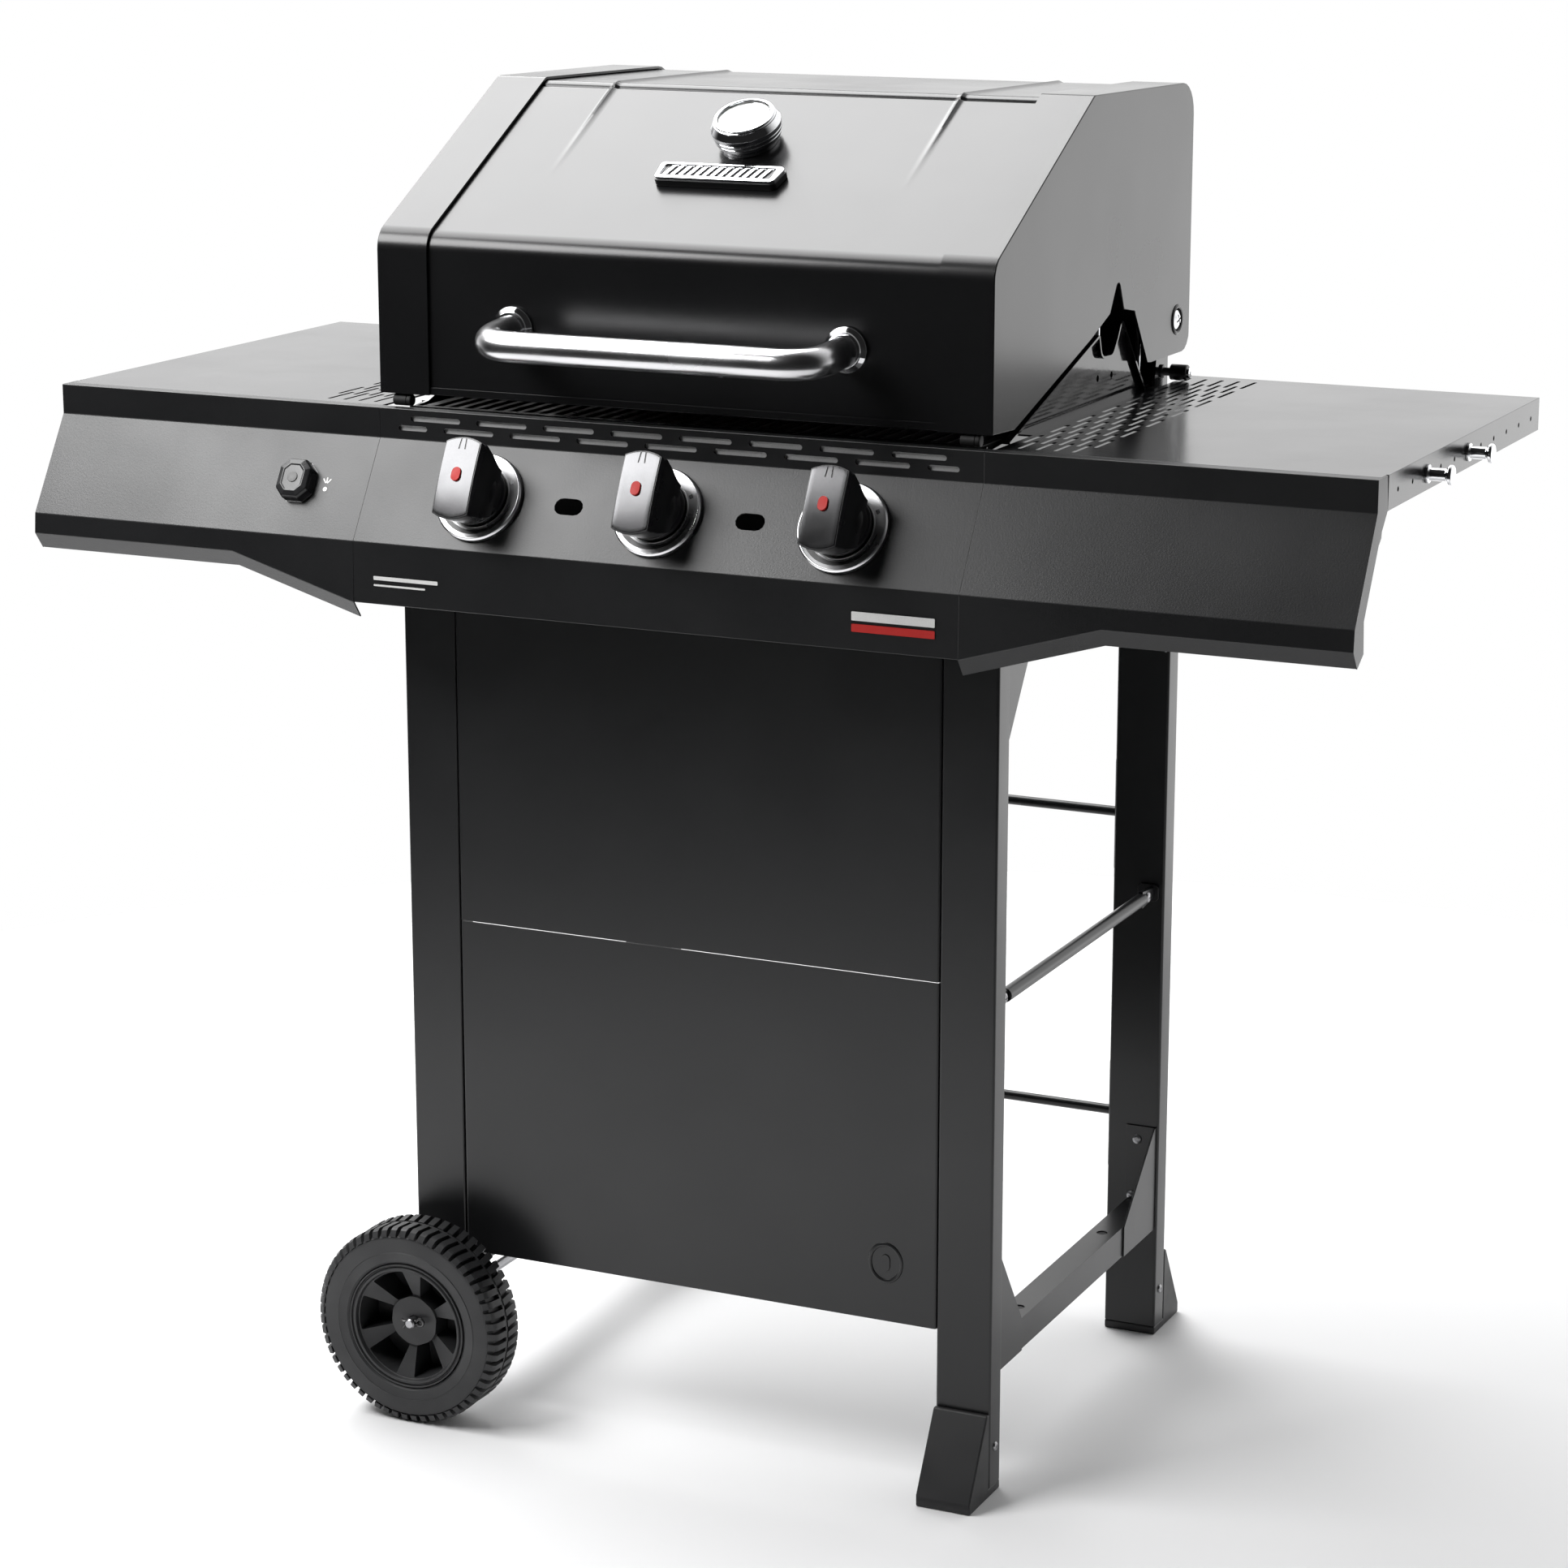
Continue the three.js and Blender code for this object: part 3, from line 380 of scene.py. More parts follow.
def joinRings(build, rings, count):
    # faces between each ring of points and the next; a ring of one point is a pole
    for low, high in zip(rings, rings[1:]):
        for step in range(count):
            after = (step + 1) % count
            corners = [low[step % len(low)], low[after % len(low)], high[after % len(high)], high[step % len(high)]]
            distinct = list(dict.fromkeys(corners))
            if len(distinct) > 2:
                build.faces.new(distinct)


def closedUp(name, build, look, matrix, smooth):
    bmesh.ops.recalc_face_normals(build, faces=build.faces)
    build.transform(matrix)
    return fromBmesh(name, build, look, smooth)


def lathe(name, profile, look, matrix, segments=64, smooth=32):
    # a [radius, height] line turned about Z; a closed line ends where it starts
    build = bmesh.new()
    turns = [2 * math.pi * step / segments for step in range(segments)]
    rings = [[build.verts.new((*spoke(radius, turn), height)) for turn in (turns if radius > 1e-6 else turns[:1])]
             for radius, height in profile]
    joinRings(build, rings, segments)
    bmesh.ops.remove_doubles(build, verts=build.verts, dist=1e-4)
    return closedUp(name, build, look, matrix, smooth)


def lofted(name, sections, look, matrix, smooth=32):
    # equal outlines of (x, y, z), joined in order, with flat ends
    build = bmesh.new()
    rings = [[build.verts.new(point) for point in section] for section in sections]
    joinRings(build, rings, len(rings[0]))
    build.faces.new(rings[0])
    build.faces.new(rings[-1])
    return closedUp(name, build, look, matrix, smooth)


def prism(name, points, low, high, look, matrix, smooth=32):
    # an outline drawn in XY and carried from low to high
    return lofted(name, [[(x, y, z) for x, y in points] for z in (low, high)], look, matrix, smooth)


def block(name, points, low, high, look, matrix, edge):
    return softened(prism(name, points, low, high, look, matrix), edge)


def tube(name, path, radius, look, sides=24):
    # a round tube through points, with flat ends
    points = [Vector(point) for point in path]
    sections = []
    across = (points[1] - points[0]).normalized().orthogonal().normalized()
    for step, point in enumerate(points):
        along = (points[min(step + 1, len(points) - 1)] - points[max(step - 1, 0)]).normalized()
        across = (across - along * across.dot(along)).normalized()
        other = along.cross(across)
        turns = (spoke(radius, 2 * math.pi * side / sides) for side in range(sides))
        sections.append([point + across * u + other * v for u, v in turns])
    return lofted(name, sections, look, place())


def roundedLine(corners, steps=8):
    # each corner (u, v, radius) becomes an arc
    line = []
    for index, (u, v, *radius) in enumerate(corners):
        if not radius or not radius[0]:
            line.append((u, v))
            continue
        corner = Vector((u, v))
        before = (Vector(corners[index - 1][:2]) - corner).normalized()
        after = (Vector(corners[(index + 1) % len(corners)][:2]) - corner).normalized()
        half = before.angle(after) / 2
        middle = corner + (before + after).normalized() * radius[0] / math.sin(half)
        start = corner + before * radius[0] / math.tan(half) - middle
        end = corner + after * radius[0] / math.tan(half) - middle
        sweep = math.atan2(start.x * end.y - start.y * end.x, start.dot(end))
        for step in range(steps + 1):
            cos, sin = spoke(1, sweep * step / steps)
            line.append(tuple(middle + Vector((start.x * cos - start.y * sin, start.x * sin + start.y * cos))))
    return line


def obround(length, height, steps=6):
    radius = height / 2
    points = []
    for side in (1, -1):
        for step in range(steps + 1):
            u, v = spoke(radius, math.pi * step / steps - quarter)
            points.append((side * (length / 2 - radius + u), side * v))
    return points


def disc(radius, steps=24):
    return [spoke(radius, 2 * math.pi * step / steps) for step in range(steps)]


def arcBand(radius, start, sweep, steps, half):
    # outline along an arc in degrees; half gives its half width at each share of the way
    turns = [(math.radians(start + sweep * step / steps), half(step / steps)) for step in range(steps + 1)]
    outer, inner = ([spoke(radius + way * wide, turn) for turn, wide in turns] for way in (1, -1))
    return outer + inner[::-1]


def clipped(width, height, corner):
    w, h, c = width / 2, height / 2, corner
    return [(-w, -h + c), (-w + c, -h), (w - c, -h), (w, -h + c), (w, h - c), (w - c, h), (-w + c, h), (-w, h - c)]


# drawn (y, z) and carried along x
sideways = place() @ Matrix(((0, 0, 1, 0), (1, 0, 0, 0), (0, 1, 0, 0), (0, 0, 0, 1)))
print("helpers ready")

# ---- node trees for what repeats

def newTree(name, inputs):
    # named inputs with their first values; one with no value takes an object
    tree = bpy.data.node_groups.new(name, "GeometryNodeTree")
    tree.interface.new_socket("Geometry", in_out="INPUT", socket_type="NodeSocketGeometry")
    for label, value in inputs.items():
        kind = {int: "Int", float: "Float"}.get(type(value), "Object")
        socket = tree.interface.new_socket(label, in_out="INPUT", socket_type="NodeSocket" + kind)
        if value is not None:
            socket.default_value = value
    tree.interface.new_socket("Finish", in_out="INPUT", socket_type="NodeSocketMaterial")
    tree.interface.new_socket("Geometry", in_out="OUTPUT", socket_type="NodeSocketGeometry")
    return tree, tree.nodes.new("NodeGroupInput").outputs


def placeCopies(tree, given, points, turn=None):
    # the piece on every point, made real and given its finish
    copies = addNode(tree, "GeometryNodeInstanceOnPoints",
                     {"Points": points, "Instance": given["Geometry"], "Rotation": turn})
    real = addNode(tree, "GeometryNodeRealizeInstances", {0: copies.outputs[0]})
    paint = addNode(tree, "GeometryNodeSetMaterial", {"Geometry": real.outputs[0], "Material": given["Finish"]})
    addNode(tree, "NodeGroupOutput", {0: paint.outputs[0]})
    return tree


def gridTree():
    # copies on a flat grid about the origin, every other column moved along by the stagger
    tree, given = newTree("gridOfCopies", {"Columns": 2, "Rows": 2, "Column Pitch": 1.0, "Row Pitch": 1.0,
                                           "Stagger": 0.0})
    columns, rows = given["Columns"], given["Rows"]
    width = mathNode(tree, "MULTIPLY", mathNode(tree, "SUBTRACT", columns, 1), given["Column Pitch"])
    depth = mathNode(tree, "MULTIPLY", mathNode(tree, "SUBTRACT", rows, 1), given["Row Pitch"])
    grid = addNode(tree, "GeometryNodeMeshGrid",
                   {"Vertices X": columns, "Vertices Y": rows, "Size X": width, "Size Y": depth})
    index = tree.nodes.new("GeometryNodeInputIndex").outputs[0]
    column = mathNode(tree, "FLOOR", mathNode(tree, "DIVIDE", mathNode(tree, "ADD", index, 0.5), rows))
    shift = mathNode(tree, "MULTIPLY", mathNode(tree, "MODULO", column, 2), given["Stagger"])
    offset = addNode(tree, "ShaderNodeCombineXYZ", {"Y": shift}).outputs[0]
    points = addNode(tree, "GeometryNodeSetPosition", {"Geometry": grid.outputs["Mesh"], "Offset": offset})
    return placeCopies(tree, given, points.outputs[0])


def ringTree():
    # copies turned evenly about Z
    tree, given = newTree("ringOfCopies", {"Count": 6, "First Turn": 0.0, "Sweep": 2 * math.pi})
    line = addNode(tree, "GeometryNodeMeshLine", {"Count": given["Count"], "Offset": (0, 0, 0)})
    index = tree.nodes.new("GeometryNodeInputIndex").outputs[0]
    step = mathNode(tree, "DIVIDE", given["Sweep"], given["Count"])
    turn = mathNode(tree, "ADD", mathNode(tree, "MULTIPLY", index, step), given["First Turn"])
    return placeCopies(tree, given, line.outputs[0], addNode(tree, "ShaderNodeCombineXYZ", {"Z": turn}).outputs[0])


def spotTree():
    # copies on the given spots, with Z along each spot's facing
    tree, given = newTree("copiesOnSpots", {"Spots": None})
    spots = addNode(tree, "GeometryNodeObjectInfo", {"Object": given["Spots"]})
    facing = addNode(tree, "GeometryNodeInputNamedAttribute", {"Name": "facing"}, data_type="FLOAT_VECTOR")
    turn = addNode(tree, "FunctionNodeAlignRotationToVector", {"Vector": facing.outputs[0]}, axis="Z")
    return placeCopies(tree, given, spots.outputs["Geometry"], turn.outputs[0])


trees = {"grid": gridTree(), "ring": ringTree(), "spots": spotTree()}


def repeated(name, template, treeName, values, look, matrix=None):
    # runs a tree on the template, and keeps the result as a plain mesh
    tree = trees[treeName]
    maker = template.modifiers.new("copies", "NODES")
    maker.node_group = tree
    sockets = {item.name: item.identifier for item in tree.interface.items_tree if item.in_out == "INPUT"}
    maker[sockets["Finish"]] = finish(look)
    for label, value in values.items():
        maker[sockets[label]] = value
    mesh = baked(template, 32).data
    bpy.data.objects.remove(template)
    mesh.name = name
    if matrix is not None:
        mesh.transform(matrix)
    return inScene(name, mesh)


def spotsAt(spots):
    # a mesh of bare points, each with the way it faces: ((x, y, z) mm, (facing))
    mesh = bpy.data.meshes.new("spots")
    mesh.from_pydata([at(*point) for point, _ in spots], [], [])
    facing = mesh.attributes.new("facing", "FLOAT_VECTOR", "POINT")
    for index, (_, way) in enumerate(spots):
        facing.data[index].vector = way
    return inScene("spots", mesh)


print("node trees ready")

# ---- parts that keep their CAD shape, with eased edges

cart = {"legInner": 224.5, "legOuter": 273.7, "legDepth": 24, "front": 34.2, "rear": 462,
        "barRadius": 6, "barX": 262, "barZ": 424.5, "barFlat": 26, "barGap": 0.5, "emblem": (178, 194),
        "braceRadius": 4.5, "braceBack": 7, "braceHeights": (207.5, 491.5), "plate": (106, 20, 2)}
keptShapes = {
    "satinBlack": ("satin_black", 0.6, ["leg_front_left", "leg_rear_left", "leg_front_right", "leg_rear_right",
                                        "lower_side_frame_left", "lower_side_frame_right",
                                        "upper_side_frame_left", "upper_side_frame_right"]),
    "enamelBlack": ("porcelain_black", 0.5, ["firebox_tub", "firebox_end_left", "firebox_end_right"]),
    "footBlack": ("black_plastic", 1.6, ["foot_front_right", "foot_rear_right"]),
    "castIron": ("cast_iron", 1.4, ["grate_left", "grate_right"]),
    "zincSteel": ("bare_steel", 0.4, ["grease_tray"]),
    "brass": ("brass", 0.5, ["gas_manifold", "valve_stem_1", "valve_stem_2", "valve_stem_3"]),
    "mouldedBlack": ("black_plastic", 0.8, ["ignition_module"]),
}
leastBend = math.radians(20)


def eased(piece, width, segments, wanted, smooth=40):
    # rounds the edges for which wanted(middle, direction, length) is true, all in mm from the datum
    build = bmesh.new()
    build.from_mesh(piece.data)
    chosen = []
    for edge in build.edges:
        if len(edge.link_faces) != 2 or edge.calc_face_angle(0) < leastBend:
            continue
        low, high = (fromDatum(vert.co) for vert in edge.verts)
        if wanted((low + high) / 2, (high - low).normalized(), (high - low).length):
            chosen.append(edge)
    bmesh.ops.bevel(build, geom=chosen, offset=width * mm, segments=segments, affect="EDGES", profile=0.5,
                    clamp_overlap=True)
    build.to_mesh(piece.data)
    build.free()
    smoothByAngle(piece.data, smooth)
    return piece


def sheetPart(node, ending, look, width, wanted, edge):
    # a folded sheet: its long bends are rounded, and then every edge is broken
    piece = eased(copyOf(node, node + ending, look), width, 4, wanted)
    return softened(piece, edge, smooth=40)


def onLegCorner(middle, way, length):
    # true on the outer corners of a leg tube
    reach = min(abs(abs(middle.x) - x) for x in (cart["legInner"], cart["legOuter"]))
    return abs(way.z) > 0.9 and length > 300 and reach < 0.3


for look, (slot, edge, members) in keptShapes.items():
    for node in members:
        piece = copyOf(node, node + "_shape", look)
        if node.startswith("leg_"):
            eased(piece, 2.2, 3, onLegCorner)
        shown(softened(piece, edge, smooth=40), nodes[node]["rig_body"], slot, node)
print("kept shapes ready")

# ---- screws and cart

screw = {"head": 5.6, "rise": 2.6, "cross": (6.2, 1.0, 0.2), "depth": 1.1}


def crossCut(head, arm, low, high, matrix, lean=0):
    # arm: its length, width and corner; matrix gives its place at a turn
    for turn in (lean, lean + quarter):
        pierced(head, prism("arm", clipped(*arm), low, high, "chrome", matrix(turn)))
    return head


def crossHead(size):
    # round screw head about the origin, in metres, with a cross cut into it
    radius, rise = screw["head"], screw["rise"]
    profile = [(0, -0.6), (radius, -0.6), (radius, 0.4), (radius * 0.86, rise * 0.62), (radius * 0.55, rise * 0.92),
               (0, rise)]
    head = lathe("screwHead", profile, "chrome", inMm, segments=20)
    crossCut(head, screw["cross"], rise - screw["depth"], rise + 1, lambda turn: turned(turn) @ inMm)
    head.data.transform(Matrix.Scale(size, 4))
    return head


def screwGroup(name, size, spots):
    marks = spotsAt(spots)
    piece = repeated(name, crossHead(size), "spots", {"Spots": marks}, "plainSteel")
    bpy.data.objects.remove(marks)
    shown(piece, "root", "bare_steel")


def panelEmblem():
    # plain raised oval with a smaller solid oval inside it, pressed into the lower front panel
    x, z = cart["emblem"]
    matrix = place((x, cart["front"] + 0.2, z), turnX=quarter) @ Matrix.Diagonal((0.88, 1, 1, 1))
    ring = lathe("ring", [(14.2, 0), (14.8, 1.1), (16.2, 1.5), (17.6, 1.1), (18.2, 0), (14.2, -0.1), (14.2, 0)],
                 "satinBlack", matrix, 40)
    middle = block("middle", obround(15, 9), -0.2, 1.2, "satinBlack", matrix @ turned(quarter), 0.4)
    return joined("emblem", ring, middle)


def onPanelBend(middle, way, length):
    return abs(way.z) > 0.9 and length > 200 and abs(middle.y - cart["front"]) < 0.4


def frontPanels():
    for part in ("lower", "upper"):
        node = "front_panel_" + part
        piece = sheetPart(node, "_sheet", "satinBlack", 2.4, onPanelBend, 0.35)
        if part == "lower":
            piece = joined(piece.name + "_embossed", piece, panelEmblem())
        shown(piece, "root", "satin_black", node)


def tankBar():
    # the bar's ends are pressed flat where their screws go through
    x, z, flat, gap = cart["barX"], cart["barZ"], cart["barFlat"], cart["barGap"]
    front, rear = cart["front"] + cart["legDepth"] + gap, cart["rear"] - cart["legDepth"] - gap
    pieces = [tube("bar", [(x, front + flat, z), (x, rear - flat, z)], cart["barRadius"], "satinBlack")]
    for y, way in ((front, 1), (rear, -1)):
        low, high = sorted((y, y + way * (flat + 4)))
        pieces.append(block("end", [(low, z - 8), (high, z - 5), (high, z + 5), (low, z + 8)], x - 2.4, x + 2.4,
                            "satinBlack", sideways, 1.2))
        pieces.append(block("tab", clipped(20, 16, 3), 0, 2, "satinBlack",
                            place((x - 3, y, z), turnX=-quarter * way), 0.5))
    shown(joined("tank_bar_pressed", *pieces), "root", "satin_black", "tank_bar")


def rearBraces():
    tall, deep, thick = cart["plate"]
    y, half = cart["rear"] - cart["braceBack"], cart["legInner"] - 0.3
    for height, part in zip(cart["braceHeights"], ("lower", "upper")):
        pieces = [tube("rod", [(1 - half, y, height), (half - 1, y, height)], cart["braceRadius"], "satinBlack")]
        outline = roundedLine([(y + u * deep / 2, height + v * tall / 2, 4)
                               for u, v in ((-1, -1), (1, -1), (1, 1), (-1, 1))], 4)
        for side in (-1, 1):
            low, high = sorted((side * half, side * (half - thick)))
            pieces.append(block("plate", outline, low, high, "satinBlack", sideways, 0.4))
        node = "rear_brace_" + part
        shown(joined(node + "_welded", *pieces), "root", "satin_black", node)


frontPanels()
tankBar()
rearBraces()
print("cart ready")

# ---- wheels

wheel = {"x": -249, "radius": 89.5, "half": 24, "offset": 44.2, "base": 84.6, "side": 81.5, "hub": 57, "ring": 51.5,
         "boss": 23, "bossDepth": (14, 58), "web": (16, 40), "webRim": 3, "bore": 5, "pockets": 6, "pocketAngle": 39,
         "firstPocket": 115, "pocketDepth": 20, "lugs": 57, "lugWidth": 5.6, "lugShift": 0.012, "axle": 4.5,
         "axleTip": 3.4, "axleReach": 17, "pin": 1.25, "pinLean": 10}


def onAxle(y):
    return Matrix.Translation(at(wheel["x"], y, wheel["radius"]))


def lugShape(side):
    # one tread block on the +X side of the Z axis, slanting back from the middle rib and over the shoulder
    r, half, wide = wheel["radius"], wheel["half"], wheel["lugWidth"] / 2
    levels = ((1.4, 0, r - 0.5), (half - 6.5, 1.8, r), (half - 3, 2.3, r - 1.9), (half - 0.5, 2.6, r - 6.4))
    sections = []
    for z, skew, top in levels:
        foot = min(top - 1, wheel["base"] - 1.5)
        outline = ((foot, -wide - 0.5), (top, -wide), (top, wide), (foot, wide + 0.5))
        sections.append([(radius, skew + across, side * z) for radius, across in outline])
    return lofted("lug", sections, "tyreBlack", inMm, 20)


def tyre(name, y):
    half, hub, side, base = (wheel[size] for size in ("half", "hub", "side", "base"))
    low = [(hub + 0.3, half - 3.2), (hub + 2.4, half - 1.6), (66.6, half - 0.6), (67.4, half - 0.05),
           (68.2, half - 0.6), (side - 2, half - 0.8), (side, half - 1.4), (base, half - 6),
           (base + 0.3, 1.6), (wheel["radius"] - 1.2, 1.2), (wheel["radius"] - 1.2, 0)]
    profile = [(r, -z) for r, z in low] + [(r, z) for r, z in reversed(low[:-1])]
    pieces = [lathe("carcass", profile + [profile[0]], "tyreBlack", inMm, segments=114, smooth=28)]
    for way in (-1, 1):
        pieces.append(repeated("lugRow", lugShape(way), "ring",
                               {"Count": wheel["lugs"], "First Turn": way * wheel["lugShift"]}, "tyreBlack"))
    piece = joined(name, *pieces)
    piece.data.transform(onAxle(y) @ turned(quarter, "X"))
    return piece


def pocketCutters(half, front):
    # six wedges with rounded corners, sunk into the web
    spread = math.radians(wheel["pocketAngle"]) / 2
    wide, narrow = wheel["ring"] - 2.6, wheel["boss"] + 0.4
    corners = [(*spoke(wide, spread * part), 1.4 if abs(part) == 1 else 0) for part in (-1, -0.6, -0.2, 0.2, 0.6, 1)]
    corners += [(*spoke(narrow, spread * part), 1) for part in (1.1, -1.1)]
    pocket = block("pocket", roundedLine(corners, 3), -half - 4, front + wheel["pocketDepth"], "tyreBlack", inMm, 0.6)
    return repeated("pockets", pocket, "ring",
                    {"Count": wheel["pockets"], "First Turn": -math.radians(wheel["firstPocket"])}, "tyreBlack")


def hub(name, y, turn):
    # moulded disc: raised boss, flat spokes between deep pockets, and a rolled rim
    half = wheel["half"] - 2
    ring, rim, boss, bore = wheel["ring"], wheel["hub"] - 0.4, wheel["boss"], wheel["bore"]
    front, back = (depth - half for depth in wheel["web"])
    bossFront, bossBack = (depth - half for depth in wheel["bossDepth"])
    profile = roundedLine([
        (bore, bossFront + 0.4, 0.4), (boss - 0.4, bossFront, 0.8), (boss, front + 0.4, 0.4),
        (ring - 1.8, wheel["webRim"] - half + 0.4, 0.8),
        (ring - 0.8, -half - 0.2, 0.6), (ring + 1.2, -half - 0.4, 0.8), (ring + 2.2, -half + 1.6, 0.4),
        (ring + 3.0, -half + 1.6, 0.4), (ring + 3.8, -half - 0.4, 0.6), (rim, -half - 0.2, 0.6), (rim, half, 0.8),
        (ring, half, 0.8), (ring, back, 1), (boss, back, 1), (boss - 1, bossBack, 1), (bore, bossBack)], 3)
    piece = lathe(name, profile + [profile[0]], "tyreBlack", inMm, segments=96, smooth=30)
    pierced(piece, pocketCutters(half, front), 30)
    piece.data.transform(onAxle(y) @ turned(turn) @ turned(-quarter, "X"))
    return piece


def cotter(y, outward):
    # split pin through the axle's end: a round eye and two legs bent apart
    rounds = (spoke(3.2, math.radians(150 - 30 * step)) for step in range(11))
    eye = [(9 + u, v) for u, v in rounds]
    path = [(-9.5, 3.4), (-7.2, 1.5), (0, 1.3), (6, 1.4)] + eye + [(6, -1.4), (0, -1.3), (-6.5, -1.5), (-9, -4.2)]
    cos, sin = spoke(1, math.radians(wheel["pinLean"]))
    spots = [(wheel["x"] + u * cos - v * sin, y + outward * 1.6, wheel["radius"] + u * sin + v * cos)
             for u, v in path]
    return tube("cotter", spots, wheel["pin"], "darkSteel", sides=10)


for part, y, turn in (("front", cart["front"] - wheel["offset"], 0),
                      ("rear", cart["rear"] + wheel["offset"], math.pi)):
    shown(tyre("tyre_" + part + "_treaded", y), "wheel_" + part, "tyre_black", "tyre_" + part)
    shown(hub("wheel_hub_" + part + "_spoked", y, turn), "wheel_" + part, "black_plastic", "wheel_hub_" + part)
reach = wheel["offset"] + wheel["axleReach"]
near, far = cart["front"] - reach, cart["rear"] + reach
rod = lathe("rod", [(0, near), (wheel["axleTip"], near), (wheel["axle"], near + 1.2), (wheel["axle"], far - 1.2),
                    (wheel["axleTip"], far), (0, far)], "plainSteel",
            place((wheel["x"], 0, wheel["radius"]), turnX=-quarter), 32)
shown(joined("axle_with_pins", rod, cotter(near + 2.6, 1), cotter(far - 2.6, -1)), "root", "bare_steel", "axle")
print("wheels ready")

# ---- firebox contents

cooker = {"spacing": 163.5, "burnerZ": 812, "burnerFront": 19, "burnerRear": 422, "burner": 11, "wall": 1.5,
          "ports": 34, "portRadius": 1.3, "portRow": 4, "portLean": 0.5, "emitterLow": 858, "emitterHigh": 874.1,
          "waves": 12, "waveSteps": 12, "emitterHalf": 256, "emitterThick": 1.5, "emitterFront": 35.5,
          "emitterRear": 436.5, "rackHalf": 258, "rackFront": 262, "rackRear": 392, "rackZ": 1010,
          "rackWire": 2.2, "rackFoot": 880, "rods": 8, "stopY": 426, "stopZ": 898.6, "stopEnd": 291, "fireboxHalf": 261.5,
          "lip": (514, 10, 1.3), "lipY": 439.6, "lipZ": 961}


def besideLine(line, distance):
    # the line moved sideways, to the right of its direction of travel
    besides = []
    for index, (u, v) in enumerate(line):
        here = Vector((u, v))
        into = here - Vector(line[index - 1]) if index else Vector(line[1]) - here
        out = Vector(line[index + 1]) - here if index < len(line) - 1 else into
        into, out = into.normalized(), out.normalized()
        normal = Vector((into.y + out.y, -into.x - out.x)).normalized()
        stretch = 1 / max(normal.dot(Vector((into.y, -into.x))), 0.3)
        besides.append((u + normal.x * distance * stretch, v + normal.y * distance * stretch))
    return besides


def burnerTube(index):
    # steel tube with a closed end and two rows of gas ports
    radius, wall = cooker["burner"], cooker["wall"]
    length = cooker["burnerRear"] - cooker["burnerFront"]
    profile = roundedLine([(0, length), (radius, length, 3), (radius, 0), (radius - wall, 0),
                           (radius - wall, length - 3), (0, length - 3)], 4)
    node = "burner_%d" % (index + 2)
    piece = lathe(node + "_ported", profile, "plainSteel", inMm, 40)
    pitch = (length - 70) / (cooker["ports"] - 1)
    for lean in (-cooker["portLean"], cooker["portLean"]):
        port = prism("port", disc(cooker["portRadius"], 8), 0, radius * 2, "plainSteel", inMm)
        # the tube lies along Z here, so the port row is turned up to point out of its side
        pierced(piece, gridOf("ports", port, cooker["ports"], 2, pitch, cooker["portRow"], "plainSteel",
                              moved(0, 0, (length / 2 + 10) * mm) @ turned(lean) @ turned(quarter, "Y")))
    spot = at(index * cooker["spacing"], cooker["burnerFront"], cooker["burnerZ"])
    piece.data.transform(Matrix.Translation(spot) @ turned(-quarter, "X") @ turned(quarter))
    shown(piece, "root", "bare_steel", node)


def gridOf(name, template, columns, rows, columnPitch, rowPitch, look, matrix, stagger=0.0):
    return repeated(name, template, "grid", {
        "Columns": columns, "Rows": rows, "Column Pitch": columnPitch * mm, "Row Pitch": rowPitch * mm,
        "Stagger": stagger * mm}, look, matrix)


def emitterPlate():
    front, depth = cooker["emitterFront"], cooker["emitterRear"] - cooker["emitterFront"]
    low, rise, half = cooker["emitterLow"], cooker["emitterHigh"] - cooker["emitterLow"], cooker["emitterHalf"]
    steps = cooker["waves"] * cooker["waveSteps"]
    line = []
    for step in range(steps + 1):
        wave = 0.5 - 0.5 * math.cos(2 * math.pi * cooker["waves"] * step / steps)
        line.append((front + depth * step / steps, low + rise * wave))
    outline = line + besideLine(line, cooker["emitterThick"])[::-1]
    piece = prism("emitter_plate_waved", outline, -half, half, "plainSteel", sideways)
    shown(piece, "root", "bare_steel", "emitter_plate")


def warmingRack():
    wire, half, z, front, rear = (cooker["rack" + size] for size in ("Wire", "Half", "Z", "Front", "Rear"))
    runs = []
    for index in range(cooker["rods"]):
        y = front + (rear - front) * index / (cooker["rods"] - 1)
        runs.append([(-half, y, z), (half, y, z)])
    for x in (-half, half):
        runs.append([(x, front - 5, z + wire * 0.8), (x, rear + 5, z + wire * 0.8)])
        runs += [[(x, y, cooker["rackFoot"]), (x, y, z)] for y in (front + 20, rear - 10)]
    wires = [tube("wire", run, wire, "chrome", 14) for run in runs]
    shown(joined("warming_rack_wires", *wires), "root", "chrome", "warming_rack")


def lidStop(side, word):
    # black sleeve on a screw with a bright end
    start = cooker["fireboxHalf"] + 3.1
    length = cooker["stopEnd"] - start
    matrix = place((side * start, cooker["stopY"], cooker["stopZ"]), turnY=quarter * side)
    sleeve = lathe("sleeve", roundedLine([(0, 0), (6, 0, 0.4), (6, 1.6, 0.4), (3.6, 2), (3.6, 8.5), (7, 8.5, 1),
                                          (7, length - 2.5, 1.2), (0, length - 2.5)], 4), "mouldedBlack", matrix, 36)
    end = lathe("end", roundedLine([(0, length - 2.6), (4.6, length - 2.6), (4.6, length - 0.4, 0.6),
                                    (1.6, length - 0.2), (1.6, length - 1.2), (0, length - 1.2)], 3),
                "chrome", matrix, 30)
    shown(joined("lid_stop_" + word + "_capped", sleeve, end), "root", "black_plastic", "lid_stop_" + word)


